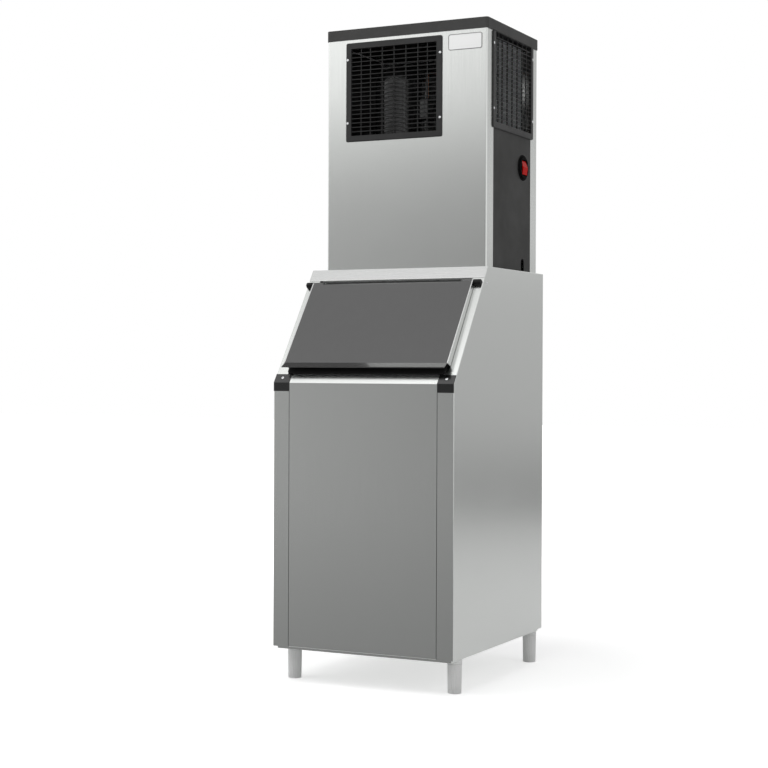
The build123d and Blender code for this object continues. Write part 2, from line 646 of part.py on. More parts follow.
def switch_rocker():
    """The red translucent rocker: two facets meeting in a ridge, rocked over to on."""
    end = ROCKER_TALL / 2
    profile = [(-end, 1), (-end, 4.2), (0, 10), (end, 4.2), (end, 1), (0, -3)]
    face = make_face(Polyline(*profile, close=True))
    rocker = extrude(Plane.XZ * face, amount=ROCKER_HALF, both=True)
    rocker = fillet(rocker.edges().filter_by(Axis.Y), 1.2)
    place = Pos(HEAD_HALF - SHEET - 0.1, SWITCH_Y, SWITCH_Z)
    return place * Rot(0, 90 - ROCKER_TILT, 0) * rocker


def compressor():
    """The black hermetic compressor: a welded steel shell with a domed top."""
    radius = 76.0
    low = DECK_Z + 22
    profile = Polyline((0, low), (radius - 14, low))
    profile += ThreePointArc((radius - 14, low), (radius - 4, low + 5), (radius, low + 16))
    profile += Polyline((radius, low + 16), (radius, low + 152), (radius + 3, low + 152),
                        (radius + 3, low + 158), (radius, low + 158), (radius, low + 172))
    profile += ThreePointArc((radius, low + 172), (radius - 18, low + 204), (radius - 50, low + 216))
    profile += Polyline((radius - 50, low + 216), (0, low + 218), (0, low))
    shell = revolve(Plane.XZ * make_face(profile), axis=Axis.Z)
    shell = Pos(COMPRESSOR_X, COMPRESSOR_Y, 0) * shell
    terminal = block(COMPRESSOR_X + radius - 4, COMPRESSOR_X + radius + 22, COMPRESSOR_Y - 22,
                     COMPRESSOR_Y + 22, low + 60, low + 120)
    return shell + fillet(terminal.edges().filter_by(Axis.X), 4)


def compressor_feet():
    """The compressor's base plate on four rubber grommets."""
    low = DECK_Z
    plate = Pos(COMPRESSOR_X, COMPRESSOR_Y, low + 19.9) * Box(190, 130, 4)
    plate = fillet(plate.edges().filter_by(Axis.Z), 18)
    for x in (-78, 78):
        for y in (-48, 48):
            plate += Pos(COMPRESSOR_X + x, COMPRESSOR_Y + y, low + 9.1) * Cylinder(11, 18)
    return plate


def condenser():
    """The finned coil behind the side grille: vertical fins on a core, with end plates."""
    y = (CONDENSER_FRONT, CONDENSER_BACK)
    z = (DECK_Z + 6, LID_Z - 14)
    x = (HEAD_HALF - 62, HEAD_HALF - 12)
    pitch = 7.0
    core = block(x[0] + 14, x[1] - 14, y[0], y[1], z[0], z[1])
    count = int((y[1] - y[0]) / pitch)
    fins = [block(x[0], x[1], y[0] + pitch * i, y[0] + pitch * i + 1.2, z[0], z[1]) for i in range(1, count)]
    plates = [block(x[0] - 2, x[1] + 2, end, end + 2, z[0] - 5.9, z[1] + 4) for end in (y[0] - 2, y[1])]
    return Part() + [core] + fins + plates


def fan_shroud():
    """The plate that seals the fan to the coil, with a rolled ring round the blades."""
    x = HEAD_HALF - 68
    plate = block(x - 1.5, x, CONDENSER_FRONT - 6, CONDENSER_BACK + 8, DECK_Z + 0.1, LID_Z - 8)
    ring = rod(FAN_RADIUS + 9, 22, (x - 11, FAN_Y, FAN_Z), "X")
    shroud = plate + ring - rod(FAN_RADIUS + 7, 80, (x, FAN_Y, FAN_Z), "X")
    return shroud


def fan_blades():
    """The axial fan: five pitched blades on a hub."""
    hub = rod(24, 26, (0, 0, 0), "X")
    hub = fillet(hub.edges().filter_by(GeomType.CIRCLE).sort_by(Axis.X)[-1], 4)
    hub -= rod(4.05, 60, (0, 0, 0), "X")
    blade = make_face(Polyline((20, -18), (60, -34), (100, -44), (FAN_RADIUS, -30), (FAN_RADIUS + 2, 0),
                               (FAN_RADIUS, 30), (100, 30), (60, 24), (20, 14), close=True))
    blade = extrude(blade, amount=0.9, both=True)
    blades = []
    for index in range(5):
        pitched = Rot(index * 72, 0, 0) * Rot(0, -90, 0) * Rot(28, 0, 0) * blade
        blades.append(pitched)
    return Pos(FAN_X, FAN_Y, FAN_Z) * (Part() + [hub] + blades)


def fan_motor():
    """The shaded-pole fan motor, its shaft and its pedestal on the deck."""
    body = rod(38, 62, (FAN_X - 56, FAN_Y, FAN_Z), "X")
    body = fillet(body.edges().filter_by(GeomType.CIRCLE), 6)
    shaft = rod(4, 40, (FAN_X - 10, FAN_Y, FAN_Z), "X")
    return body + shaft


def fan_bracket():
    """The folded pedestal under the fan motor."""
    points = [(FAN_Y - 45, DECK_Z + 0.7), (FAN_Y - 28, DECK_Z + 0.7), (FAN_Y - 28, FAN_Z - 38.7),
              (FAN_Y + 28, FAN_Z - 38.7), (FAN_Y + 28, DECK_Z + 0.7), (FAN_Y + 45, DECK_Z + 0.7)]
    return folded(points, 46, start=FAN_X - 79, thickness=1.2)


def evaporator():
    """The plated freezing plate: a grid of shallow cube pockets with the coil pan behind."""
    plate = block(-150, 150, EVAP_Y, EVAP_Y + 26, EVAP_Z, EVAP_Z + 250)
    pocket = Box(36, 20, 32)
    pockets = [Pos(x, EVAP_Y, EVAP_Z + 125 + z) * pocket
               for x in (-123, -82, -41, 0, 41, 82, 123) for z in (-92.5, -55.5, -18.5, 18.5, 55.5, 92.5)]
    plate -= pockets
    hangers = [block(x - 10, x + 10, EVAP_Y + 22.1, EVAP_Y + 26, EVAP_Z + 240, DECK_Z - 1.25) for x in (-120, 120)]
    return Part() + [plate] + hangers


def water_trough():
    """The moulded sump under the freezing plate."""
    trough = block(-190, 225, EVAP_Y - 10, EVAP_Y + 92, TROUGH_Z, TROUGH_Z + 56)
    trough = fillet(trough.edges().filter_by(Axis.Z), 8)
    trough = fillet(trough.faces().sort_by(Axis.Z)[0].edges(), 5)
    top = trough.faces().sort_by(Axis.Z)[-1]
    trough = offset(trough, amount=-2.5, openings=[top])
    for x in (-120, 120):
        trough += block(x - 8, x + 8, EVAP_Y + 30, EVAP_Y + 60, TOP_Z + 2.1, TROUGH_Z + 1)
    return trough


def water_pump():
    """The circulation pump: a motor on a stalk down to its impeller case in the sump."""
    x = 196
    y = EVAP_Y + 55
    pump = rod(17, 12, (x, y, TROUGH_Z + 10.5), "Z")
    pump += rod(7, 60, (x, y, TROUGH_Z + 40), "Z")
    pump += rod(26, 46, (x, y, TROUGH_Z + 82), "Z")
    pump += block(x - 17, x + 26, EVAP_Y - 9, EVAP_Y + 91, TROUGH_Z + 56.1, TROUGH_Z + 59)
    return pump


def water_distributor():
    """The tube along the top of the freezing plate that wets it through a row of holes."""
    tube = rod(9, 300, (0, EVAP_Y + 13, EVAP_Z + 259.2), "X")
    tube -= rod(7, 296, (0, EVAP_Y + 13, EVAP_Z + 259.2), "X")
    for index in range(11):
        tube -= Pos(-125 + 25 * index, EVAP_Y + 3, EVAP_Z + 259.2) * Rot(90, 0, 0) * Cylinder(2, 8)
    return tube


def pump_hose():
    """The clear hose from the pump to the distributor."""
    x = 162
    y = EVAP_Y + 55
    path = FilletPolyline((178.9, y, TROUGH_Z + 12), (x, y, TROUGH_Z + 12), (x, y, TROUGH_Z + 160),
                          (x, EVAP_Y + 13, TROUGH_Z + 230), (x, EVAP_Y + 13, EVAP_Z + 259.2),
                          (150.2, EVAP_Y + 13, EVAP_Z + 259.2), radius=9)
    section = Plane(path @ 0, z_dir=path % 0)
    return sweep(section * Circle(6), path=path) - sweep(section * Circle(4), path=path)


def ice_curtain():
    """The plastic flap in front of the freezing plate that the falling ice swings open."""
    sheet = block(-162, 162, CURTAIN_Y - 1.25, CURTAIN_Y + 1.25, CURTAIN_Z - 262, CURTAIN_Z)
    sheet = fillet(sheet.edges().filter_by(Axis.Y).sort_by(Axis.Z)[:2], 10)
    pins = rod(4, 340, (0, CURTAIN_Y, CURTAIN_Z), "X")
    ribs = [block(x - 1.2, x + 1.2, CURTAIN_Y - 5, CURTAIN_Y - 1, CURTAIN_Z - 250, CURTAIN_Z - 10)
            for x in (-100, 0, 100)]
    return Part() + [sheet, pins] + ribs


def curtain_brackets():
    """The two ears under the deck that the curtain's pivots hang in."""
    ears = []
    for side in (-1, 1):
        x = side * 167
        ear = block(x - 2.5, x + 2.5, CURTAIN_Y - 9, CURTAIN_Y + 9, CURTAIN_Z - 9, DECK_Z - 1.25)
        ears.append(ear - rod(4.08, 20, (x, CURTAIN_Y, CURTAIN_Z), "X"))
    return Compound(children=ears)


def electrical_box():
    """The control box beside the switch, with its folded lid."""
    box = block(145, 208, HEAD_Y + 250, HEAD_Y + 370, 1385, DECK_Z - 1.3)
    box = fillet(box.edges().filter_by(Axis.X), 3)
    return box


def inlet_valve():
    """The solenoid water valve, with a threaded spigot through the back."""
    spigot = rod(INLET_RADIUS, 50, (INLET_X, REAR_Y + REAR_REACH - 25, FITTING_Z), "Y")
    spigot -= rod(INLET_RADIUS - 3.2, 40, (INLET_X, REAR_Y + REAR_REACH - 8, FITTING_Z), "Y")
    body = block(INLET_X - 18, INLET_X + 18, REAR_Y - 62, REAR_Y - 26, FITTING_Z - 16, FITTING_Z + 16)
    body = fillet(body.edges().filter_by(Axis.Y), 5)
    coil = rod(15, 34, (INLET_X, REAR_Y - 44, FITTING_Z + 32), "Z")
    flange = rod(19, 4, (INLET_X, REAR_Y - SHEET - 2.05, FITTING_Z), "Y")
    return body + spigot + coil + flange


def purge_drain():
    """The head's own waste spigot, which empties the sump after each batch."""
    spigot = rod(PURGE_RADIUS, 46, (PURGE_X, REAR_Y + REAR_REACH - 27, FITTING_Z), "Y")
    spigot += rod(15, 4, (PURGE_X, REAR_Y - SHEET - 2.05, FITTING_Z), "Y")
    return spigot - rod(PURGE_RADIUS - 2, 80, (PURGE_X, REAR_Y, FITTING_Z), "Y")


def cable_gland():
    """The strain-relief gland for the supply cord, left empty."""
    body = rod(GLAND_RADIUS - 0.1, 16, (GLAND_X, REAR_Y - 2, FITTING_Z), "Y")
    nut = Pos(GLAND_X, REAR_Y + 3.05, FITTING_Z) * Rot(90, 0, 0) * extrude(RegularPolygon(14, 6), amount=3, both=True)
    dome = rod(10.5, 8, (GLAND_X, REAR_Y + 9.9, FITTING_Z), "Y")
    dome = fillet(dome.edges().sort_by(Axis.Y)[-1], 2.5)
    return body + nut + dome - rod(5, 60, (GLAND_X, REAR_Y, FITTING_Z), "Y")


def filter_drier():
    """The copper filter drier, held to the deck by a clip."""
    y = HEAD_Y + 330
    body = rod(11, 90, (-150, y, DECK_Z + 32), "X")
    body = fillet(body.edges().filter_by(GeomType.CIRCLE), 5)
    return body + block(-156, -144, y - 6, y + 6, DECK_Z + 0.1, DECK_Z + 30)


def bent_tube(points, radius, bend):
    """A copper tube along straight runs joined by tangent bends."""
    path = FilletPolyline(*points, radius=bend)
    return sweep(Plane(path @ 0, z_dir=path % 0) * Circle(radius), path=path)


def discharge_tube():
    """The hot-gas tube from the compressor to the coil."""
    high = DECK_Z + 255
    return bent_tube([(COMPRESSOR_X, COMPRESSOR_Y + 76.1, DECK_Z + 120), (COMPRESSOR_X, TUBE_Y, DECK_Z + 120),
                      (COMPRESSOR_X, TUBE_Y, high), (HEAD_HALF - 42, TUBE_Y, high),
                      (HEAD_HALF - 42, CONDENSER_BACK + 2.1, high)], 4, 12)


def suction_tube():
    """The wide return tube up from the freezing plate to the compressor."""
    back = HEAD_Y + 350
    return bent_tube([(COMPRESSOR_X - 45, COMPRESSOR_Y + 66, DECK_Z + 70), (COMPRESSOR_X - 45, back, DECK_Z + 70),
                      (-200, back, DECK_Z + 70), (-200, back, DECK_Z + 0.3)], 6, 18)


def front_grille_plane():
    """Where the front grille stands: on the head's front, facing forward."""
    return Plane(origin=(GRILLE_CENTRE_X, HEAD_Y, FRONT_GRILLE_Z), x_dir=(1, 0, 0), z_dir=(0, -1, 0))


def side_grille_plane():
    """Where the side grille stands: on the right-hand returns, facing right."""
    middle = (SIDE_GRILLE_FRONT + SIDE_GRILLE_BACK) / 2
    return Plane(origin=(HEAD_HALF, middle, SIDE_GRILLE_Z), x_dir=(0, 1, 0), z_dir=(1, 0, 0))


parts = {
    "bin_base": bin_base(),
    "bin_side_left": bin_side_panel(-1),
    "bin_side_right": bin_side_panel(1),
    "bin_front_panel": bin_front_panel(),
    "bin_rear_panel": bin_rear_panel(),
    "bin_fascia": bin_fascia(),
    "bin_top_deck": bin_top_deck(),
    "bin_liner": bin_liner(),
    "bin_insulation": bin_insulation(),
    "bin_drain": bin_drain(),
    "corner_cap_left": corner_cap(-1),
    "corner_cap_right": corner_cap(1),
    "corner_cap_screws": cap_screws(),
    "hinge_block_left": hinge_block(-1),
    "hinge_block_right": hinge_block(1),
    "hinge_rivets": hinge_rivets(),
    "door_shell": door_shell(),
    "door_cheeks": door_cheeks(),
    "door_core": door_core(),
    "door_gasket": door_gasket(),
    "door_pins": door_pins(),
    "head_base": head_base(),
    "head_front_panel": head_front_panel(),
    "head_rear_panel": head_rear_panel(),
    "head_side_left": head_side_panel(-1),
    "head_side_right": head_side_panel(1),
    "head_top_frame": head_top_frame(),
    "head_lid": head_lid(),
    "head_deck": head_deck(),
    "front_grille": front_grille_plane().location * grille(GRILLE_HEIGHT, GRILLE_RIM),
    "side_grille": side_grille_plane().location * grille(LID_Z - SIDE_GRILLE_Z - 0.6, 2.0),
    "grille_screws": grille_screws(),
    "switch_housing": switch_housing(),
    "switch_rocker": switch_rocker(),
    "compressor": compressor(),
    "compressor_feet": compressor_feet(),
    "condenser": condenser(),
    "fan_shroud": fan_shroud(),
    "fan_blades": fan_blades(),
    "fan_motor": fan_motor(),
    "fan_bracket": fan_bracket(),
    "discharge_tube": discharge_tube(),
    "suction_tube": suction_tube(),
    "filter_drier": filter_drier(),
    "evaporator": evaporator(),
    "water_trough": water_trough(),
    "water_pump": water_pump(),
    "water_distributor": water_distributor(),
    "pump_hose": pump_hose(),
    "ice_curtain": ice_curtain(),
    "curtain_brackets": curtain_brackets(),
    "electrical_box": electrical_box(),
    "inlet_valve": inlet_valve(),
    "purge_drain": purge_drain(),
    "cable_gland": cable_gland(),
    "foot_sockets": Compound(children=[foot_socket(x, y) for x, y in FOOT_PLACES]),
}
for name, (x, y) in zip(("front_left", "rear_left", "front_right", "rear_right"), FOOT_PLACES):
    parts[f"foot_{name}"] = foot(x, y)

os.makedirs("parts", exist_ok=True)
for name, shape in parts.items():
    export_step(shape, f"parts/{name}.step")
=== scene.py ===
import math
import bpy
from mathutils import Matrix, Vector


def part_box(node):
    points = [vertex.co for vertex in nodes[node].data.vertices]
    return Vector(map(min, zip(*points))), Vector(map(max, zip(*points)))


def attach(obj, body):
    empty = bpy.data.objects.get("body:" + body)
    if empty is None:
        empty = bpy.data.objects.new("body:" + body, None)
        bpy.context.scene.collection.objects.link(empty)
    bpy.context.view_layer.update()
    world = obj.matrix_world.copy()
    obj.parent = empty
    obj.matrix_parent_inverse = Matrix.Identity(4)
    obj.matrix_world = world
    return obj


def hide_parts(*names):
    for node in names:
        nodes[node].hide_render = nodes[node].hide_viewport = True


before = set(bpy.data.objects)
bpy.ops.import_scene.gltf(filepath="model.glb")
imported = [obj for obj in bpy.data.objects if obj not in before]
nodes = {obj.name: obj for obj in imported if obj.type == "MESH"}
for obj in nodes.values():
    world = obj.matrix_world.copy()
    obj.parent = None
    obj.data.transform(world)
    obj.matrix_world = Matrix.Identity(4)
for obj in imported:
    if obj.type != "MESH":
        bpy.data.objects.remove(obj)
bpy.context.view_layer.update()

# Studio. A white backdrop and a pale floor, which keeps the machine's soft shadow and turns white
# away from it. White shows to the camera and in metal and plastic; plain surfaces take their light
# from soft lamps and a weak even fill.
scene = bpy.context.scene
scene.view_settings.view_transform = "Standard"
world = bpy.data.worlds.new("studio")
scene.world = world
world.use_nodes = True
tree = world.node_tree
tree.nodes.clear()
backdrop = tree.nodes.new("ShaderNodeBackground")
backdrop.inputs["Color"].default_value = (1, 1, 1, 1)
backdrop.inputs["Strength"].default_value = 1.0
fill_light = tree.nodes.new("ShaderNodeBackground")
fill_light.inputs["Color"].default_value = (1, 1, 1, 1)
fill_light.inputs["Strength"].default_value = 0.42


def white_to(tree, *ray_names):
    """One for a ray of any of the named kinds, otherwise nought."""
    rays = tree.nodes.new("ShaderNodeLightPath")
    reached = rays.outputs[ray_names[0]]
    for ray_name in ray_names[1:]:
        either = tree.nodes.new("ShaderNodeMath")
        either.operation = "MAXIMUM"
        tree.links.new(reached, either.inputs[0])
        tree.links.new(rays.outputs[ray_name], either.inputs[1])
        reached = either.outputs[0]
    return reached


choose = tree.nodes.new("ShaderNodeMixShader")
world_out = tree.nodes.new("ShaderNodeOutputWorld")
shown_white = white_to(tree, "Is Camera Ray", "Is Glossy Ray", "Is Transmission Ray")
tree.links.new(shown_white, choose.inputs[0])
tree.links.new(fill_light.outputs[0], choose.inputs[1])
tree.links.new(backdrop.outputs[0], choose.inputs[2])
tree.links.new(choose.outputs[0], world_out.inputs["Surface"])

bpy.ops.object.select_all(action="DESELECT")
bpy.ops.mesh.primitive_plane_add(size=40, location=(0, 0, 0))
floor = bpy.context.active_object
floor.name = "studio_floor"
floor_paint = bpy.data.materials.new("pale_floor")
floor_paint.use_nodes = True
tree = floor_paint.node_tree
shader = tree.nodes["Principled BSDF"]
shader.inputs["Base Color"].default_value = (0.84, 0.84, 0.84, 1)
shader.inputs["Roughness"].default_value = 0.9
shader.inputs["Specular IOR Level"].default_value = 0.0
shader.inputs["Emission Color"].default_value = (1, 1, 1, 1)
place = tree.nodes.new("ShaderNodeTexCoord")
distance = tree.nodes.new("ShaderNodeVectorMath")
distance.operation = "LENGTH"
reach = tree.nodes.new("ShaderNodeMapRange")
reach.inputs["From Min"].default_value = 0.6
reach.inputs["From Max"].default_value = 2.6
reach.inputs["To Min"].default_value = 0.50
reach.inputs["To Max"].default_value = 1.0
glow = tree.nodes.new("ShaderNodeMath")
glow.operation = "MULTIPLY"
gleam = tree.nodes.new("ShaderNodeMath")
gleam.operation = "MULTIPLY_ADD"
gleam.inputs[1].default_value = 0.22
tree.links.new(place.outputs["Object"], distance.inputs[0])
tree.links.new(distance.outputs["Value"], reach.inputs["Value"])
tree.links.new(white_to(tree, "Is Camera Ray"), glow.inputs[0])
tree.links.new(reach.outputs[0], glow.inputs[1])
tree.links.new(white_to(tree, "Is Glossy Ray"), gleam.inputs[0])
tree.links.new(glow.outputs[0], gleam.inputs[2])
tree.links.new(gleam.outputs[0], shader.inputs["Emission Strength"])
floor.data.materials.append(floor_paint)

# Lamps. One large soft lamp overhead, one to the camera's left and a weak one to its right.
for lamp_name, place, aim, width, height, power in [
    ("overhead_lamp", (-0.6, -1.4, 4.6), (0, 0, 1.2), 3.5, 3.0, 60),
    ("left_lamp", (-3.6, -3.0, 3.2), (0, 0, 1.0), 2.5, 2.5, 40),
    ("right_lamp", (4.2, -0.8, 2.8), (0, 0, 1.0), 2.0, 2.5, 22),
]:
    lamp_data = bpy.data.lights.new(lamp_name, "AREA")
    lamp_data.shape = "RECTANGLE"
    lamp_data.size = width
    lamp_data.size_y = height
    lamp_data.energy = power
    lamp = bpy.data.objects.new(lamp_name, lamp_data)
    scene.collection.objects.link(lamp)
    lamp.location = place
    lamp.rotation_mode = "QUATERNION"
    lamp.rotation_quaternion = (Vector(aim) - Vector(place)).to_track_quat("-Z", "Y")
    lamp.visible_glossy = False

# Cards. The brushed steel and the dark plastics show them as soft lighter and darker bands, and
# nothing else sees them. Grey ones are at the front left, behind to the right and on the floor, with
# a bright one over the first; three lie high overhead, and the rearmost of them is nearly black.
# A row has the card's corners, its tones by height from the floor to its top edge, and its strength
# at two places across the room, each as a place and a strength.
for card_name, corners, tones, left, right in [
    ("front_left_card", [(-6.0, -3.6, 0.0), (0.6, -5.4, 0.0), (0.6, -5.4, 2.36), (-6.0, -3.6, 2.36)],
     [(0.0, 0.40), (0.3, 0.38), (0.6, 0.36), (0.8, 0.40), (1.0, 0.53)], (-4.0, 1.42), (0.0, 0.56)),
    ("upper_card", [(-6.0, -3.6, 2.37), (0.6, -5.4, 2.37), (0.6, -5.4, 4.2), (-6.0, -3.6, 4.2)],
     [(0.0, 0.9), (0.66, 1.2), (1.0, 1.3)], (-4.0, 1.42), (0.0, 0.56)),
    ("back_right_card", [(0.5, 5.6, 0.0), (6.0, 2.6, 0.0), (6.0, 2.6, 3.2), (0.5, 5.6, 3.2)],
     [(0.0, 0.28), (0.08, 0.37), (0.163, 0.52), (0.43, 0.57), (0.52, 0.72), (1.0, 0.56)],
     (-4.0, 1.0), (0.0, 1.0)),
    ("floor_card", [(-4.0, -6.5, 0.003), (2.6, -6.5, 0.003), (2.6, -0.36, 0.003), (-4.0, -0.36, 0.003)],
     [(0.0, 0.34), (1.0, 0.34)], (-4.0, 1.35), (0.0, 0.8)),
    ("high_card", [(-3.0, -3.2, 4.5), (0.5, -3.2, 4.5), (0.5, -1.62, 4.5), (-3.0, -1.62, 4.5)],
     [(0.0, 1.0), (1.0, 1.0)], (-2.5, 1.5), (-1.4, 1.8)),
    ("slope_card", [(-3.2, -1.61, 4.5), (0.5, -1.61, 4.5), (0.5, -0.7, 4.5), (-3.2, -0.7, 4.5)],
     [(0.0, 0.88), (1.0, 0.88)], (-3.2, 1.0), (0.5, 1.0)),
    ("lip_card", [(-4.6, 0.7, 4.5), (0.5, 0.7, 4.5), (0.5, 4.0, 4.5), (-4.6, 4.0, 4.5)],
     [(0.0, 0.06), (1.0, 0.06)], (-4.6, 1.0), (0.5, 1.0)),
]:
    card_mesh = bpy.data.meshes.new(card_name)
    card_mesh.from_pydata(corners, [], [(0, 1, 2, 3)])
    card = bpy.data.objects.new(card_name, card_mesh)
    scene.collection.objects.link(card)
    card_paint = bpy.data.materials.new(card_name)
    card_paint.use_nodes = True
    tree = card_paint.node_tree
    tree.nodes.clear()
    place = tree.nodes.new("ShaderNodeTexCoord")
    split = tree.nodes.new("ShaderNodeSeparateXYZ")
    height = tree.nodes.new("ShaderNodeMapRange")
    height.inputs["From Max"].default_value = max(corner[2] for corner in corners)
    ramp = tree.nodes.new("ShaderNodeValToRGB")
    while len(ramp.color_ramp.elements) < len(tones):
        ramp.color_ramp.elements.new(0.5)
    for stop, (at, tone) in zip(ramp.color_ramp.elements, tones):
        stop.position = at
        stop.color = (tone, tone, tone, 1)
    across = tree.nodes.new("ShaderNodeMapRange")
    across.inputs["From Min"].default_value = left[0]
    across.inputs["From Max"].default_value = right[0]
    across.inputs["To Min"].default_value = left[1]
    across.inputs["To Max"].default_value = right[1]
    glow = tree.nodes.new("ShaderNodeEmission")
    surface = tree.nodes.new("ShaderNodeOutputMaterial")
    tree.links.new(place.outputs["Object"], split.inputs[0])
    tree.links.new(split.outputs["Z"], height.inputs["Value"])
    tree.links.new(split.outputs["X"], across.inputs["Value"])
    tree.links.new(height.outputs[0], ramp.inputs[0])
    tree.links.new(ramp.outputs[0], glow.inputs["Color"])
    tree.links.new(across.outputs[0], glow.inputs["Strength"])
    tree.links.new(glow.outputs[0], surface.inputs["Surface"])
    card_mesh.materials.append(card_paint)
    card.visible_camera = False
    card.visible_diffuse = False
    card.visible_transmission = False
    card.visible_shadow = False

# Camera, at the photograph's viewing angle, about as high as the bin's door.
CAMERA_PLACE = (2.1122, -4.4308, 0.8905)
CAMERA_TURN = 0.4629
CAMERA_TILT = math.pi / 2 - 0.0021
CAMERA_ROLL = 0.004
camera_data = bpy.data.cameras.new("camera")
camera_data.lens = 78.1
camera_data.sensor_width = 36
camera_data.shift_y = -0.0168
camera = bpy.data.objects.new("camera", camera_data)
scene.collection.objects.link(camera)
camera.matrix_world = (
    Matrix.Translation(CAMERA_PLACE)
    @ Matrix.Rotation(CAMERA_TURN, 4, "Z")
    @ Matrix.Rotation(CAMERA_TILT, 4, "X")
    @ Matrix.Rotation(CAMERA_ROLL, 4, "Z")
)
scene.camera = camera

# Storage bin's outer sheets. Folded stainless steel about 1 mm thick, brushed up and down before
# it was folded; the two sides wrap round the front corners and the front panel sits between them.


def new_paint(paint_name):
    """A material with one plain shader, and the parts that its nodes are added to."""
    paint = bpy.data.materials.new(paint_name)
    paint.use_nodes = True
    tree = paint.node_tree
    return paint, tree, tree.nodes["Principled BSDF"]


def set_shader(shader, metallic=0.0, specular=0.5, coat=0.0, coat_roughness=0.1):
    """The plain numbers that are the same all over a finish."""
    shader.inputs["Metallic"].default_value = metallic
    shader.inputs["Specular IOR Level"].default_value = specular
    shader.inputs["Coat Weight"].default_value = coat
    shader.inputs["Coat Roughness"].default_value = coat_roughness


def new_effect(effect_name, entries, results):
    """A shared effect: a node group with named inputs and outputs, and its two end nodes."""
    effect = bpy.data.node_groups.new(effect_name, "ShaderNodeTree")
    for socket_name, kind, value in entries:
        socket = effect.interface.new_socket(socket_name, in_out="INPUT", socket_type=kind)
        socket.default_value = value
    for socket_name, kind in results:
        effect.interface.new_socket(socket_name, in_out="OUTPUT", socket_type=kind)
    return effect, effect.nodes.new("NodeGroupInput"), effect.nodes.new("NodeGroupOutput")


def use_effect(tree, effect, **values):
    """The effect placed in a material with its own values; underscores stand for spaces."""
    placed = tree.nodes.new("ShaderNodeGroup")
    placed.node_tree = effect
    for socket_name, value in values.items():
        placed.inputs[socket_name.replace("_", " ")].default_value = value
    return placed


def dress(paint, *node_names):
    """A CAD piece takes the finish as its only material."""
    for node_name in node_names:
        nodes[node_name].data.materials.clear()
        nodes[node_name].data.materials.append(paint)


FLOAT, COLOUR, VECTOR = "NodeSocketFloat", "NodeSocketColor", "NodeSocketVector"

# The brushing: long fine scratches one way, with a broad cloud of handling over them.
brushing, entry, result = new_effect(
    "brushing",
    [("Steel", COLOUR, (0.7, 0.7, 0.7, 1)), ("Dull Steel", COLOUR, (0.6, 0.6, 0.6, 1)),
     ("Stretch", VECTOR, (900, 900, 12)), ("Smooth", FLOAT, 0.28), ("Rough", FLOAT, 0.36)],
    [("Colour", COLOUR), ("Roughness", FLOAT), ("Height", FLOAT)],
)
place = brushing.nodes.new("ShaderNodeTexCoord")
stretched = brushing.nodes.new("ShaderNodeVectorMath")
stretched.operation = "MULTIPLY"
scratches = brushing.nodes.new("ShaderNodeTexNoise")
scratches.inputs["Scale"].default_value = 1.0
scratches.inputs["Detail"].default_value = 4.0
scratches.inputs["Roughness"].default_value = 0.65
clouds = brushing.nodes.new("ShaderNodeTexNoise")
clouds.inputs["Scale"].default_value = 5.0
clouds.inputs["Detail"].default_value = 3.0
steel_mix = brushing.nodes.new("ShaderNodeMix")
steel_mix.data_type = "RGBA"
scratch_rough = brushing.nodes.new("ShaderNodeMapRange")
scratch_rough.inputs["From Min"].default_value = 0.3
scratch_rough.inputs["From Max"].default_value = 0.7
cloud_rough = brushing.nodes.new("ShaderNodeMapRange")
cloud_rough.inputs["To Min"].default_value = -0.02
cloud_rough.inputs["To Max"].default_value = 0.02
rough_sum = brushing.nodes.new("ShaderNodeMath")
brushing.links.new(place.outputs["Object"], stretched.inputs[0])
brushing.links.new(entry.outputs["Stretch"], stretched.inputs[1])
brushing.links.new(stretched.outputs[0], scratches.inputs["Vector"])
brushing.links.new(place.outputs["Object"], clouds.inputs["Vector"])
brushing.links.new(scratches.outputs["Fac"], steel_mix.inputs["Factor"])
brushing.links.new(entry.outputs["Dull Steel"], steel_mix.inputs["A"])
brushing.links.new(entry.outputs["Steel"], steel_mix.inputs["B"])
brushing.links.new(scratches.outputs["Fac"], scratch_rough.inputs["Value"])
brushing.links.new(entry.outputs["Rough"], scratch_rough.inputs["To Min"])
brushing.links.new(entry.outputs["Smooth"], scratch_rough.inputs["To Max"])
brushing.links.new(clouds.outputs["Fac"], cloud_rough.inputs["Value"])
brushing.links.new(scratch_rough.outputs[0], rough_sum.inputs[0])
brushing.links.new(cloud_rough.outputs[0], rough_sum.inputs[1])
brushing.links.new(steel_mix.outputs["Result"], result.inputs["Colour"])
brushing.links.new(rough_sum.outputs[0], result.inputs["Roughness"])
brushing.links.new(scratches.outputs["Fac"], result.inputs["Height"])


def brushed_sheet(paint_name, steel, dull_steel, stretch, smooth, rough, relief):
    """Brushed metal: bright steel with scratches one way."""
    paint, tree, shader = new_paint(paint_name)
    set_shader(shader, metallic=1.0)
    grain = use_effect(tree, brushing, Steel=(*steel, 1), Dull_Steel=(*dull_steel, 1), Stretch=stretch,
                       Smooth=smooth, Rough=rough)
    bump = tree.nodes.new("ShaderNodeBump")
    bump.inputs["Strength"].default_value = relief
    bump.inputs["Distance"].default_value = 0.0002
    tree.links.new(grain.outputs["Colour"], shader.inputs["Base Color"])
    tree.links.new(grain.outputs["Roughness"], shader.inputs["Roughness"])
    tree.links.new(grain.outputs["Height"], bump.inputs["Height"])
    tree.links.new(bump.outputs[0], shader.inputs["Normal"])
    return paint


upright_steel = brushed_sheet("upright_brushed_steel", (0.73, 0.745, 0.73), (0.64, 0.655, 0.64),
                              (1100, 1100, 9), 0.19, 0.25, 0.06)
dress(upright_steel, "bin_side_left", "bin_side_right", "bin_front_panel")

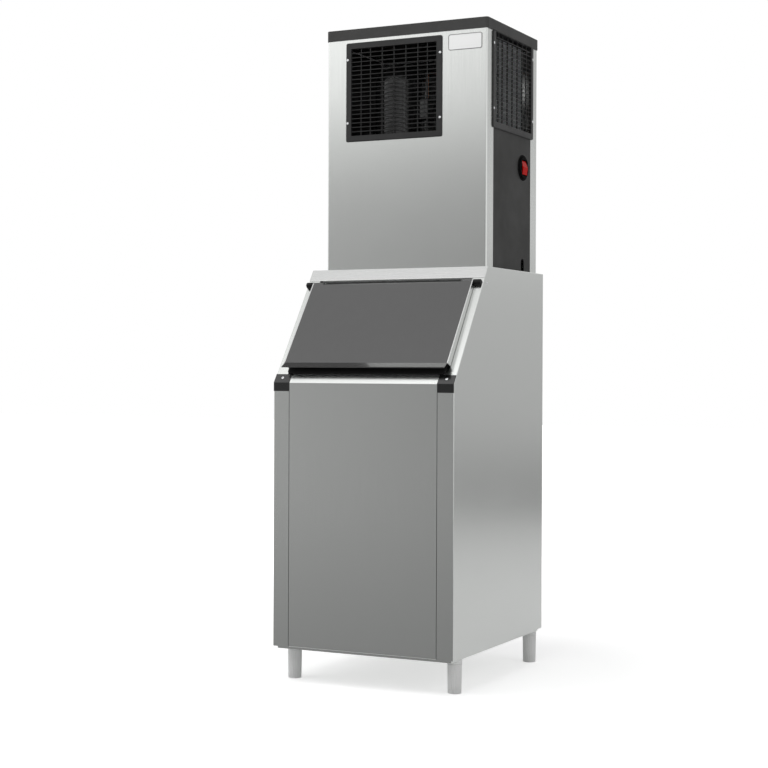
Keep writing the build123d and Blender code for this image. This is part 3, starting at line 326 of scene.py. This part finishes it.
# Bin's base tray and top deck. Plain trays of the same steel, brushed across the machine; the
# head stands on the deck, round the mouth that the ice falls through.
flat_steel = brushed_sheet("cross_brushed_steel", (0.73, 0.745, 0.73), (0.64, 0.655, 0.64),
                           (9, 1100, 1100), 0.19, 0.25, 0.06)
dress(flat_steel, "bin_base", "bin_top_deck")

# Slope trim. The bright folded strip over the door, in a finer satin finish than the panels.
bright_steel = brushed_sheet("satin_bright_trim", (0.68, 0.685, 0.68), (0.61, 0.615, 0.61),
                             (9, 1300, 1300), 0.22, 0.30, 0.15)
dress(bright_steel, "bin_fascia")

# Bin's rear sheet. Galvanised steel with its faint crystal spangle, left bare at the back.
spangle, entry, result = new_effect(
    "spangle",
    [("Pale", COLOUR, (0.5, 0.5, 0.5, 1)), ("Dark", COLOUR, (0.35, 0.35, 0.35, 1)), ("Size", FLOAT, 90.0)],
    [("Colour", COLOUR), ("Roughness", FLOAT)],
)
place = spangle.nodes.new("ShaderNodeTexCoord")
crystals = spangle.nodes.new("ShaderNodeTexVoronoi")
weathering = spangle.nodes.new("ShaderNodeTexNoise")
weathering.inputs["Scale"].default_value = 9.0
weathering.inputs["Detail"].default_value = 4.0
crystal_tone = spangle.nodes.new("ShaderNodeSeparateColor")
tone = spangle.nodes.new("ShaderNodeMix")
tone.data_type = "RGBA"
blend_tone = spangle.nodes.new("ShaderNodeMath")
blend_tone.operation = "MULTIPLY"
crystal_rough = spangle.nodes.new("ShaderNodeMapRange")
crystal_rough.inputs["To Min"].default_value = 0.38
crystal_rough.inputs["To Max"].default_value = 0.56
spangle.links.new(place.outputs["Object"], crystals.inputs["Vector"])
spangle.links.new(entry.outputs["Size"], crystals.inputs["Scale"])
spangle.links.new(place.outputs["Object"], weathering.inputs["Vector"])
spangle.links.new(crystals.outputs["Color"], crystal_tone.inputs[0])
spangle.links.new(crystal_tone.outputs[0], blend_tone.inputs[0])
spangle.links.new(weathering.outputs["Fac"], blend_tone.inputs[1])
spangle.links.new(blend_tone.outputs[0], tone.inputs["Factor"])
spangle.links.new(entry.outputs["Dark"], tone.inputs["A"])
spangle.links.new(entry.outputs["Pale"], tone.inputs["B"])
spangle.links.new(crystal_tone.outputs[1], crystal_rough.inputs["Value"])
spangle.links.new(tone.outputs["Result"], result.inputs["Colour"])
spangle.links.new(crystal_rough.outputs[0], result.inputs["Roughness"])


def zinc_coated(paint_name, pale, dark, size):
    """Hot-dipped sheet, with the flat crystals of its zinc."""
    paint, tree, shader = new_paint(paint_name)
    set_shader(shader, metallic=1.0)
    skin = use_effect(tree, spangle, Pale=(*pale, 1), Dark=(*dark, 1), Size=size)
    tree.links.new(skin.outputs["Colour"], shader.inputs["Base Color"])
    tree.links.new(skin.outputs["Roughness"], shader.inputs["Roughness"])
    return paint


galvanised = zinc_coated("galvanised_sheet", (0.62, 0.63, 0.64), (0.42, 0.43, 0.44), 85.0)
dress(galvanised, "bin_rear_panel")

# Storage tub. One white food-safe moulding, glossy and slightly dulled by the ice scoop, with
# dark foam poured round it; the foam shows only at the mouth's edge.
moulding, entry, result = new_effect(
    "moulding",
    [("Plastic", COLOUR, (0.1, 0.1, 0.1, 1)), ("Worn Plastic", COLOUR, (0.12, 0.12, 0.12, 1)),
     ("Grain Size", FLOAT, 1400.0), ("Smooth", FLOAT, 0.35), ("Rough", FLOAT, 0.5)],
    [("Colour", COLOUR), ("Roughness", FLOAT), ("Height", FLOAT)],
)
place = moulding.nodes.new("ShaderNodeTexCoord")
pits = moulding.nodes.new("ShaderNodeTexVoronoi")
pits.feature = "SMOOTH_F1"
handling = moulding.nodes.new("ShaderNodeTexNoise")
handling.inputs["Scale"].default_value = 14.0
handling.inputs["Detail"].default_value = 5.0
handled = moulding.nodes.new("ShaderNodeMapRange")
handled.inputs["From Min"].default_value = 0.35
handled.inputs["From Max"].default_value = 0.7
plastic_mix = moulding.nodes.new("ShaderNodeMix")
plastic_mix.data_type = "RGBA"
rough_mix = moulding.nodes.new("ShaderNodeMix")
moulding.links.new(place.outputs["Object"], pits.inputs["Vector"])
moulding.links.new(entry.outputs["Grain Size"], pits.inputs["Scale"])
moulding.links.new(place.outputs["Object"], handling.inputs["Vector"])
moulding.links.new(handling.outputs["Fac"], handled.inputs["Value"])
moulding.links.new(handled.outputs[0], plastic_mix.inputs["Factor"])
moulding.links.new(entry.outputs["Plastic"], plastic_mix.inputs["A"])
moulding.links.new(entry.outputs["Worn Plastic"], plastic_mix.inputs["B"])
moulding.links.new(handled.outputs[0], rough_mix.inputs["Factor"])
moulding.links.new(entry.outputs["Rough"], rough_mix.inputs["A"])
moulding.links.new(entry.outputs["Smooth"], rough_mix.inputs["B"])
moulding.links.new(plastic_mix.outputs["Result"], result.inputs["Colour"])
moulding.links.new(rough_mix.outputs["Result"], result.inputs["Roughness"])
moulding.links.new(pits.outputs["Distance"], result.inputs["Height"])


def moulded(paint_name, plastic, worn, grain, smooth, rough, relief, specular=0.5, coat=0.0):
    """Moulded or painted, with a fine grain and a slight cloud where hands have been."""
    paint, tree, shader = new_paint(paint_name)
    set_shader(shader, specular=specular, coat=coat, coat_roughness=0.05)
    skin = use_effect(tree, moulding, Plastic=(*plastic, 1), Worn_Plastic=(*worn, 1), Grain_Size=grain,
                      Smooth=smooth, Rough=rough)
    bump = tree.nodes.new("ShaderNodeBump")
    bump.inputs["Strength"].default_value = relief
    bump.inputs["Distance"].default_value = 0.0002
    tree.links.new(skin.outputs["Colour"], shader.inputs["Base Color"])
    tree.links.new(skin.outputs["Roughness"], shader.inputs["Roughness"])
    tree.links.new(skin.outputs["Height"], bump.inputs["Height"])
    tree.links.new(bump.outputs[0], shader.inputs["Normal"])
    return paint


liner_white = moulded("white_liner", (0.80, 0.81, 0.80), (0.76, 0.77, 0.76), 500, 0.28, 0.36, 0.1)
dress(liner_white, "bin_liner")
foam = moulded("charcoal_foam", (0.012, 0.012, 0.012), (0.016, 0.016, 0.016), 300, 0.8, 0.9, 0.8,
               specular=0.1)
dress(foam, "bin_insulation")

# Corner caps and their screws. A black moulded cap hooks over each front corner of the bin, and
# one zinc-plated pan-head screw with a cross recess holds it to the slope.
cap_black = moulded("black_cap", (0.003, 0.003, 0.003), (0.005, 0.005, 0.005), 1500, 0.16, 0.22, 0.12,
                    specular=0.75)
dress(cap_black, "corner_cap_left", "corner_cap_right")
zinc = brushed_sheet("zinc_plated", (0.86, 0.87, 0.88), (0.74, 0.75, 0.76), (400, 400, 400), 0.20, 0.32, 0.1)


def pick_faces(piece, wanted):
    """Edit mode, with only the faces chosen for which the test holds."""
    bpy.ops.object.mode_set(mode="EDIT")
    bpy.ops.mesh.select_mode(type="FACE")
    bpy.ops.mesh.select_all(action="DESELECT")
    bpy.ops.object.mode_set(mode="OBJECT")
    for face in piece.data.polygons:
        face.select = wanted(face)
    bpy.ops.object.mode_set(mode="EDIT")


def fix_in_place(pieces, piece_name):
    """Join finished copies to one piece at the origin, with its place in its mesh."""
    bpy.ops.object.select_all(action="DESELECT")
    for piece in pieces:
        piece.select_set(True)
    bpy.context.view_layer.objects.active = pieces[0]
    bpy.ops.object.transform_apply(location=True, rotation=True, scale=True)
    if len(pieces) > 1:
        bpy.ops.object.join()
    pieces[0].name = piece_name
    return pieces[0]


def pan_head(radius, height):
    """A screw's domed head with a cross recess, lying face up at the origin."""
    slot_long = 1.1 * radius
    slot_wide = 0.3 * radius
    bpy.ops.object.select_all(action="DESELECT")
    bpy.ops.mesh.primitive_cylinder_add(vertices=32, radius=radius, depth=height, location=(0, 0, height / 2))
    head = bpy.context.active_object
    pick_faces(head, lambda face: face.normal.z > 0.9)
    bpy.ops.mesh.bevel(offset=height * 0.6, segments=4, affect="EDGES")
    bpy.ops.object.mode_set(mode="OBJECT")
    for across in (Vector((slot_long, slot_wide, height)), Vector((slot_wide, slot_long, height))):
        bpy.ops.object.select_all(action="DESELECT")
        bpy.ops.mesh.primitive_cube_add(size=1, location=(0, 0, height), scale=across)
        punch = bpy.context.active_object
        bpy.context.view_layer.objects.active = head
        recess = head.modifiers.new("recess", "BOOLEAN")
        recess.operation = "DIFFERENCE"
        recess.object = punch
        bpy.ops.object.modifier_apply(modifier="recess")
        bpy.data.objects.remove(punch, do_unlink=True)
    bpy.ops.object.select_all(action="DESELECT")
    head.select_set(True)
    bpy.ops.object.shade_smooth_by_angle(angle=math.radians(35))
    return head


def drive_in(head, places, piece_name):
    """Copies of a screw's head at each place, facing the way given with it; the first one goes."""
    driven = []
    for place, facing in places:
        copy = head.copy()
        copy.data = head.data.copy()
        scene.collection.objects.link(copy)
        turned = Vector(facing).to_track_quat("Z", "Y").to_matrix().to_4x4()
        copy.matrix_world = Matrix.Translation(place) @ turned
        driven.append(copy)
    bpy.data.objects.remove(head, do_unlink=True)
    return fix_in_place(driven, piece_name)


CAP_SCREW_RADIUS = 0.0042
CAP_SCREW_HEIGHT = 0.0017
screw_low, screw_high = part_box("corner_cap_screws")
slope_out = Vector((0, -0.8215, 0.5702))
cap_places = []
for side_x in (screw_low.x + CAP_SCREW_RADIUS, screw_high.x - CAP_SCREW_RADIUS):
    middle = Vector((side_x, (screw_low.y + screw_high.y) / 2, (screw_low.z + screw_high.z) / 2))
    cap_places.append((middle, slope_out))
cap_screws = drive_in(pan_head(CAP_SCREW_RADIUS, CAP_SCREW_HEIGHT), cap_places, "cap_screws")
cap_screws.data.materials.append(zinc)
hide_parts("corner_cap_screws")
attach(cap_screws, "cabinet")

# Door. A smoked glossy plastic cover with a flared lip along its foot, bright steel cheeks down
# its sides, a black foam-filled back and a soft seal that presses round the mouth.
door_dark = moulded("smoked_door_plastic", (0.056, 0.056, 0.056), (0.061, 0.061, 0.061), 1200, 0.20, 0.26,
                    0.12, specular=0.4, coat=1.0)
dress(door_dark, "door_shell")
dress(bright_steel, "door_cheeks")
back_black = moulded("black_door_back", (0.009, 0.009, 0.009), (0.012, 0.012, 0.012), 1500, 0.34, 0.44, 0.3,
                     specular=0.2)
dress(back_black, "door_core")
rubber = moulded("black_rubber", (0.008, 0.008, 0.008), (0.011, 0.011, 0.011), 900, 0.6, 0.75, 0.3,
                 specular=0.2)
dress(rubber, "door_gasket")

# Door hinges. A steel pin at each upper corner of the door turns in a black moulded block, which
# a bright rivet holds to the bin's side.
hinge_black = moulded("black_hinge", (0.009, 0.009, 0.009), (0.012, 0.012, 0.012), 1500, 0.34, 0.44, 0.3,
                      specular=0.2)
dress(hinge_black, "hinge_block_left", "hinge_block_right")
dress(zinc, "hinge_rivets", "door_pins")

# Bin's waste fitting. Black moulded pipe through the tub's floor to a threaded end at the back.
pipe_black = moulded("black_pipe", (0.009, 0.009, 0.009), (0.012, 0.012, 0.012), 1200, 0.34, 0.44, 0.3,
                     specular=0.3)
dress(pipe_black, "bin_drain")


def pipe_thread(radius, pitch, start, finish, piece_name, paint):
    """A raised thread along Y round a pipe, wound from a start to a finish on its centre line."""
    turns = int((finish.y - start.y) / pitch)
    bpy.ops.object.select_all(action="DESELECT")
    bpy.ops.mesh.primitive_circle_add(vertices=3, radius=0.45 * pitch, fill_type="NGON",
                                      location=(radius, 0, 0), rotation=(math.pi / 2, 0, math.pi))
    thread = bpy.context.active_object
    bpy.ops.object.transform_apply(location=True, rotation=True, scale=True)
    winding = thread.modifiers.new("winding", "SCREW")
    winding.axis = "Z"
    winding.steps = 36
    winding.render_steps = 36
    winding.iterations = turns
    winding.screw_offset = pitch
    winding.use_normal_calculate = True
    bpy.ops.object.modifier_apply(modifier="winding")
    bpy.ops.object.mode_set(mode="EDIT")
    bpy.ops.mesh.select_all(action="SELECT")
    bpy.ops.mesh.remove_doubles(threshold=0.00001)
    bpy.ops.mesh.fill_holes(sides=4)
    bpy.ops.mesh.normals_make_consistent(inside=False)
    bpy.ops.object.mode_set(mode="OBJECT")
    thread.matrix_world = Matrix.Translation(start) @ Matrix.Rotation(-math.pi / 2, 4, "X")
    fix_in_place([thread], piece_name)
    thread.data.materials.append(paint)
    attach(thread, "cabinet")
    return thread


THREAD_PITCH = 0.0018
DRAIN_PIPE_RADIUS = 0.0131
DRAIN_PIPE_HEIGHT = 0.020
DRAIN_THREAD_START = 0.0165
DRAIN_THREAD_END = 0.001
drain_low, drain_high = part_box("bin_drain")
drain_line = Vector((0, drain_high.y, drain_low.z + DRAIN_PIPE_HEIGHT))
pipe_thread(DRAIN_PIPE_RADIUS, THREAD_PITCH, drain_line - Vector((0, DRAIN_THREAD_START, 0)),
            drain_line - Vector((0, DRAIN_THREAD_END, 0)), "bin_drain_thread", pipe_black)

# Feet. Four pale grey moulded feet with fine upright flutes; each screws into its socket under
# the base, which levels the machine.
foot_grey = moulded("pale_grey_foot", (0.84, 0.845, 0.84), (0.78, 0.785, 0.78), 1200, 0.30, 0.42, 0.2)
dress(foot_grey, "foot_sockets", "foot_front_left", "foot_front_right", "foot_rear_left", "foot_rear_right")

# Head's outer sheets. The front and rear panels are stainless steel folded back at both sides;
# the head stands on a shallow drip tray, and a galvanised deck inside carries the works.
dress(upright_steel, "head_front_panel", "head_rear_panel")
dress(flat_steel, "head_base")
dress(galvanised, "head_deck")

# Head's side panels. Sheet steel in satin charcoal paint. The right one has openings for its
# grille and for the power switch, and a rounded slot at its foot.
charcoal_paint = moulded("charcoal_paint", (0.026, 0.026, 0.025), (0.029, 0.029, 0.028), 1600, 0.42, 0.5,
                         0.15, specular=0.16)
dress(charcoal_paint, "head_side_left", "head_side_right")

# Badge plate. A small plate with rounded corners at the upper right of the head's front: a thin
# grey rim round a bare satin face. It is glued flat to the panel and carries nothing.
BADGE_LEFT = 0.136
BADGE_RIGHT = 0.241
BADGE_LOW = 1.8020
BADGE_HIGH = 1.8475
BADGE_THICK = 0.0014
BADGE_CORNER = 0.006
BADGE_RIM = 0.0016
panel_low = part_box("head_front_panel")[0]
badge_middle = Vector(((BADGE_LEFT + BADGE_RIGHT) / 2, panel_low.y - BADGE_THICK / 2,
                       (BADGE_LOW + BADGE_HIGH) / 2))
bpy.ops.object.select_all(action="DESELECT")
bpy.ops.mesh.primitive_cube_add(size=1, location=badge_middle,
                                scale=(BADGE_RIGHT - BADGE_LEFT, BADGE_THICK, BADGE_HIGH - BADGE_LOW))
badge = bpy.context.active_object
fix_in_place([badge], "badge_plate")
bpy.ops.object.mode_set(mode="EDIT")
bpy.ops.mesh.select_mode(type="EDGE")
bpy.ops.mesh.select_all(action="DESELECT")
bpy.ops.object.mode_set(mode="OBJECT")
for edge in badge.data.edges:
    start, finish = (badge.data.vertices[end].co for end in edge.vertices)
    edge.select = abs(start.y - finish.y) > BADGE_THICK / 2
bpy.ops.object.mode_set(mode="EDIT")
bpy.ops.mesh.bevel(offset=BADGE_CORNER, segments=6, affect="EDGES")
pick_faces(badge, lambda face: face.normal.y < -0.9)
bpy.ops.mesh.inset(thickness=BADGE_RIM, depth=0)
bpy.ops.mesh.inset(thickness=BADGE_RIM / 4, depth=-BADGE_THICK / 3)
bpy.ops.object.mode_set(mode="OBJECT")
badge_rim = moulded("badge_rim", (0.20, 0.20, 0.20), (0.23, 0.23, 0.23), 900, 0.3, 0.4, 0.1)
badge_face = brushed_sheet("badge_face", (0.90, 0.905, 0.90), (0.84, 0.845, 0.84), (12, 900, 900),
                           0.3, 0.4, 0.05)
badge.data.materials.append(badge_rim)
badge.data.materials.append(badge_face)
for face in badge.data.polygons:
    face.material_index = int(face.normal.y < -0.9 and face.center.y > panel_low.y - 0.8 * BADGE_THICK)
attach(badge, "cabinet")

# Lid and top frame. A charcoal moulded tray turned down over the head; under it an angle frame
# in charcoal paint runs round the top, with a lip inside its left and back sides whose white is a painted
# highlight for the bright line along that inner edge.
lid_charcoal = moulded("charcoal_lid", (0.068, 0.068, 0.067), (0.075, 0.075, 0.074), 900, 0.42, 0.52,
                       0.5, specular=0.06)
dress(lid_charcoal, "head_lid")
dress(charcoal_paint, "head_top_frame")
LIP_TALL = 0.0042
LIP_THICK = 0.0011
LIP_RAISED = 0.0002
FRAME_WALL = 0.0013
frame_low, frame_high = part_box("head_top_frame")
lip_size = frame_high - frame_low - Vector((2 * FRAME_WALL, 2 * FRAME_WALL, 0))
lip_middle = Vector(((frame_low.x + frame_high.x) / 2, (frame_low.y + frame_high.y) / 2,
                     frame_low.z + LIP_RAISED))
bpy.ops.object.select_all(action="DESELECT")
bpy.ops.mesh.primitive_plane_add(size=1, location=lip_middle)
frame_lip = bpy.context.active_object
frame_lip.scale = (lip_size.x, lip_size.y, 1)
fix_in_place([frame_lip], "top_frame_lip")
pick_faces(frame_lip, lambda face: True)
bpy.ops.mesh.inset(thickness=LIP_THICK)
bpy.ops.mesh.delete(type="FACE")
pick_faces(frame_lip, lambda face: face.center.x > lip_middle.x + lip_size.x / 3
           or face.center.y < lip_middle.y - lip_size.y / 3)
bpy.ops.mesh.delete(type="FACE")
bpy.ops.object.mode_set(mode="OBJECT")
folded_up = frame_lip.modifiers.new("folded_up", "SOLIDIFY")
folded_up.thickness = LIP_TALL
folded_up.offset = 1.0
bpy.ops.object.modifier_apply(modifier="folded_up")
softened = frame_lip.modifiers.new("softened", "BEVEL")
softened.width = LIP_THICK / 4
softened.segments = 2
bpy.ops.object.modifier_apply(modifier="softened")
# The lip's pale white is a painted highlight, standing for the light caught along the frame's inner edge.
lip_painted_highlight = moulded("white_lip_painted_highlight", (0.86, 0.86, 0.85), (0.80, 0.80, 0.79), 900, 0.24, 0.34, 0.1)
frame_lip.data.materials.append(lip_painted_highlight)
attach(frame_lip, "cabinet")

# Grilles. Black moulded plates with tilted louvres and upright bars behind them, one in the
# head's front and one in its right side, each held by four bright cross-recess screws.
grille_black = moulded("black_grille", (0.036, 0.036, 0.036), (0.041, 0.041, 0.041), 1500, 0.36, 0.46,
                       0.2, specular=0.16)
dress(grille_black, "front_grille", "side_grille")
GRILLE_SCREW_RADIUS = 0.0038
GRILLE_SCREW_HEIGHT = 0.0016
GRILLE_SCREW_INSET = 0.006
GRILLE_SCREW_HEIGHTS = (0.055, 0.242)
front_low, front_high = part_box("front_grille")
side_low, side_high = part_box("side_grille")
grille_places = []
for height in GRILLE_SCREW_HEIGHTS:
    for side_x in (front_low.x + GRILLE_SCREW_INSET, front_high.x - GRILLE_SCREW_INSET):
        grille_places.append(((side_x, front_low.y, front_low.z + height), (0, -1, 0)))
    for side_y in (side_low.y + GRILLE_SCREW_INSET, side_high.y - GRILLE_SCREW_INSET):
        grille_places.append(((side_high.x, side_y, side_low.z + height), (1, 0, 0)))
grille_heads = drive_in(pan_head(GRILLE_SCREW_RADIUS, GRILLE_SCREW_HEIGHT), grille_places,
                        "grille_screw_heads")
grille_heads.data.materials.append(zinc)
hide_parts("grille_screws")
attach(grille_heads, "cabinet")

# Power switch. A red translucent rocker with a ridge across it, in a low black moulded ring.
switch_black = moulded("black_switch", (0.004, 0.004, 0.004), (0.006, 0.006, 0.006), 1500, 0.40, 0.50, 0.2,
                       specular=0.0, coat=0.06)
dress(switch_black, "switch_housing")
red_lens = moulded("red_lens", (0.60, 0.008, 0.005), (0.50, 0.007, 0.005), 300, 0.16, 0.26, 0.02,
                   specular=0.0, coat=0.2)
dress(red_lens, "switch_rocker")

# Compressor. A welded steel shell in gloss black enamel. Its base plate and four grommets are one
# piece, finished as black rubber, and four bolts go down through it.
enamel = moulded("black_enamel", (0.014, 0.014, 0.014), (0.020, 0.020, 0.020), 400, 0.16, 0.26, 0.1,
                 coat=0.4)
dress(enamel, "compressor")
dress(rubber, "compressor_feet")
BOLT_RADIUS = 0.0075
BOLT_HEIGHT = 0.005
BOLT_INSET = 0.017
plate_low, plate_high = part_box("compressor_feet")
bolt_places = []
for side_x in (plate_low.x + BOLT_INSET, plate_high.x - BOLT_INSET):
    for side_y in (plate_low.y + BOLT_INSET, plate_high.y - BOLT_INSET):
        bolt_places.append(((side_x, side_y, plate_high.z), (0, 0, 1)))
bolts = drive_in(pan_head(BOLT_RADIUS, BOLT_HEIGHT), bolt_places, "compressor_bolts")
bolts.data.materials.append(zinc)
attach(bolts, "cabinet")

# Condenser. Thin stepped aluminium fins pressed on copper tubes, between two galvanised end
# plates, with copper return bends standing out of both ends.
FIN_PITCH = 0.0026
FIN_THICK = 0.0003
FIN_STEP = 0.0006
END_PLATE = 0.0012
COIL_PIPE = 0.004
COIL_ROWS = 11
COIL_COLUMN = 0.014
COIL_SIDE_GAP = 0.002
COIL_END_GAP = 0.003
COIL_FOOT_GAP = 0.006
COIL_TOP_GAP = 0.004
coil_low, coil_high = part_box("condenser")
fins_low = coil_low + Vector((COIL_SIDE_GAP, COIL_END_GAP, COIL_FOOT_GAP))
fins_high = coil_high - Vector((COIL_SIDE_GAP, COIL_END_GAP, COIL_TOP_GAP))
fin_count = int((fins_high.y - fins_low.y) / FIN_PITCH)
bpy.ops.object.select_all(action="DESELECT")
bpy.ops.mesh.primitive_grid_add(x_subdivisions=8, y_subdivisions=1, size=1,
                                rotation=(math.pi / 2, 0, 0),
                                location=((fins_low.x + fins_high.x) / 2, fins_low.y,
                                          (fins_low.z + fins_high.z) / 2))
coil_fins = bpy.context.active_object
coil_fins.scale = (fins_high.x - fins_low.x, fins_high.z - fins_low.z, 1)
fix_in_place([coil_fins], "condenser_fins")
folds = sorted({round(vertex.co.x, 5) for vertex in coil_fins.data.vertices})
bpy.ops.object.mode_set(mode="EDIT")
bpy.ops.mesh.select_mode(type="VERT")
bpy.ops.mesh.select_all(action="DESELECT")
bpy.ops.object.mode_set(mode="OBJECT")
for vertex in coil_fins.data.vertices:
    vertex.select = folds.index(round(vertex.co.x, 5)) % 2 == 1
bpy.ops.object.mode_set(mode="EDIT")
bpy.ops.transform.translate(value=(0, FIN_STEP, 0))
bpy.ops.object.mode_set(mode="OBJECT")
fin_wall = coil_fins.modifiers.new("fin_wall", "SOLIDIFY")
fin_wall.thickness = FIN_THICK
bpy.ops.object.modifier_apply(modifier="fin_wall")
stacked = coil_fins.modifiers.new("stacked", "ARRAY")
stacked.count = fin_count
stacked.use_relative_offset = False
stacked.use_constant_offset = True
stacked.constant_offset_displace = (0, FIN_PITCH, 0)
bpy.ops.object.modifier_apply(modifier="stacked")
aluminium = brushed_sheet("bare_aluminium", (0.80, 0.81, 0.82), (0.68, 0.69, 0.70), (60, 900, 60),
                          0.35, 0.5, 0.2)
coil_fins.data.materials.append(aluminium)
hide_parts("condenser")
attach(coil_fins, "cabinet")

end_plates = []
for plate_y in (coil_low.y + END_PLATE / 2, coil_high.y - END_PLATE / 2):
    bpy.ops.object.select_all(action="DESELECT")
    bpy.ops.mesh.primitive_cube_add(size=1, location=((coil_low.x + coil_high.x) / 2, plate_y,
                                                      (coil_low.z + coil_high.z) / 2),
                                    scale=(coil_high.x - coil_low.x, END_PLATE, coil_high.z - coil_low.z))
    end_plates.append(bpy.context.active_object)
condenser_plates = fix_in_place(end_plates, "condenser_end_plates")
rounded = condenser_plates.modifiers.new("rounded", "BEVEL")
rounded.width = END_PLATE / 4
rounded.segments = 2
bpy.ops.object.modifier_apply(modifier="rounded")
condenser_plates.data.materials.append(galvanised)
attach(condenser_plates, "cabinet")

copper = brushed_sheet("bare_copper", (0.72, 0.40, 0.26), (0.55, 0.28, 0.17), (60, 60, 60), 0.25, 0.42, 0.1)
row_gap = (fins_high.z - fins_low.z) / (2 * COIL_ROWS)
return_bends = []
for end_y, outwards in ((coil_low.y, -1), (coil_high.y, 1)):
    for column in (-COIL_COLUMN, COIL_COLUMN):
        for row in range(COIL_ROWS - (outwards < 0)):
            middle = Vector(((coil_low.x + coil_high.x) / 2 + column, end_y,
                             fins_low.z + (2 * row + (1 if outwards > 0 else 2)) * row_gap))
            bpy.ops.object.select_all(action="DESELECT")
            bpy.ops.mesh.primitive_torus_add(major_segments=24, minor_segments=10, major_radius=row_gap / 2,
                                             minor_radius=COIL_PIPE, location=middle,
                                             rotation=(0, math.pi / 2, 0))
            bend = bpy.context.active_object
            fix_in_place([bend], "return_bend")
            bpy.ops.object.mode_set(mode="EDIT")
            bpy.ops.mesh.select_all(action="SELECT")
            bpy.ops.mesh.bisect(plane_co=middle, plane_no=(0, outwards, 0), use_fill=True, clear_inner=True)
            bpy.ops.object.mode_set(mode="OBJECT")
            return_bends.append(bend)
condenser_bends = fix_in_place(return_bends, "condenser_return_bends")
bpy.ops.object.shade_smooth_by_angle(angle=math.radians(40))
condenser_bends.data.materials.append(copper)
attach(condenser_bends, "cabinet")

# Fan. A black five-bladed fan in a galvanised shroud, which draws air through the condenser; its
# black motor stands on a folded bracket on the deck.
fan_black = moulded("black_fan", (0.009, 0.009, 0.009), (0.012, 0.012, 0.012), 1500, 0.34, 0.44, 0.3,
                    specular=0.2)
dress(fan_black, "fan_blades")
dress(enamel, "fan_motor")
dress(galvanised, "fan_shroud", "fan_bracket")

# Refrigerant pipes. Bare copper, slightly browned: the hot-gas pipe to the condenser, the wider
# return pipe, and the filter drier clipped to the deck between them.
dress(copper, "discharge_tube", "suction_tube", "filter_drier")

# Freezing plate. A nickel-plated grid of cube pockets, hung from the deck; a milky clear curtain
# of plastic swings in front of it on two steel brackets and lets the ice fall.
plated = brushed_sheet("plated_grid", (0.78, 0.78, 0.76), (0.66, 0.66, 0.64), (300, 300, 300),
                       0.22, 0.34, 0.1)
dress(plated, "evaporator")
milky = moulded("milky_plastic", (0.68, 0.70, 0.69), (0.62, 0.64, 0.63), 300, 0.2, 0.3, 0.05)
dress(milky, "ice_curtain")
dress(upright_steel, "curtain_brackets")

# Water side. A white trough under the freezing plate, a black pump standing in it, and a milky
# hose up to the white pipe that spreads the water over the plate.
dress(liner_white, "water_trough", "water_distributor")
pump_black = moulded("black_pump", (0.009, 0.009, 0.009), (0.012, 0.012, 0.012), 1200, 0.34, 0.44, 0.3,
                     specular=0.3)
dress(pump_black, "water_pump")
dress(milky, "pump_hose")

# Control box. Galvanised sheet behind the power switch, closed by a lid with four screws.
dress(galvanised, "electrical_box")
BOX_SCREW_RADIUS = 0.0035
BOX_SCREW_HEIGHT = 0.0016
BOX_SCREW_INSET = 0.010
box_low, box_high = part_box("electrical_box")
box_places = []
for side_y in (box_low.y + BOX_SCREW_INSET, box_high.y - BOX_SCREW_INSET):
    for height in (box_low.z + BOX_SCREW_INSET, box_high.z - BOX_SCREW_INSET):
        box_places.append(((box_low.x, side_y, height), (-1, 0, 0)))
box_screws = drive_in(pan_head(BOX_SCREW_RADIUS, BOX_SCREW_HEIGHT), box_places, "control_box_screws")
box_screws.data.materials.append(zinc)
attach(box_screws, "cabinet")

# Connections at the back of the head. A white threaded water inlet on its valve, the white waste
# spigot, and the black gland for the supply cord, left empty.
dress(liner_white, "inlet_valve", "purge_drain")
gland_black = moulded("black_gland", (0.009, 0.009, 0.009), (0.012, 0.012, 0.012), 1500, 0.34, 0.44, 0.3,
                      specular=0.3)
dress(gland_black, "cable_gland")
INLET_PIPE_RADIUS = 0.0132
INLET_PIPE_HEIGHT = 1.226
INLET_THREAD_START = 0.020
INLET_THREAD_END = 0.0015
inlet_low, inlet_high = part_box("inlet_valve")
inlet_line = Vector(((inlet_low.x + inlet_high.x) / 2, inlet_high.y, INLET_PIPE_HEIGHT))
pipe_thread(INLET_PIPE_RADIUS, THREAD_PITCH, inlet_line - Vector((0, INLET_THREAD_START, 0)),
            inlet_line - Vector((0, INLET_THREAD_END, 0)), "water_inlet_thread", liner_white)

# Screws of the rear sheets. Zinc-plated pan heads down both edges of the head's rear panel and
# of the bin's rear sheet, about 200 mm apart.
REAR_SCREW_RADIUS = 0.0038
REAR_SCREW_HEIGHT = 0.0016
REAR_SCREW_INSET = 0.012
REAR_SCREW_FIRST = 0.03
rear_places = []
for node_name, rows in (("head_rear_panel", 4), ("bin_rear_panel", 6)):
    rear_low, rear_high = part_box(node_name)
    step = (rear_high.z - rear_low.z - 2 * REAR_SCREW_FIRST) / (rows - 1)
    for side_x in (rear_low.x + REAR_SCREW_INSET, rear_high.x - REAR_SCREW_INSET):
        for row in range(rows):
            height = rear_low.z + REAR_SCREW_FIRST + row * step
            rear_places.append(((side_x, rear_high.y, height), (0, 1, 0)))
rear_screws = drive_in(pan_head(REAR_SCREW_RADIUS, REAR_SCREW_HEIGHT), rear_places, "rear_sheet_screws")
rear_screws.data.materials.append(zinc)
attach(rear_screws, "cabinet")
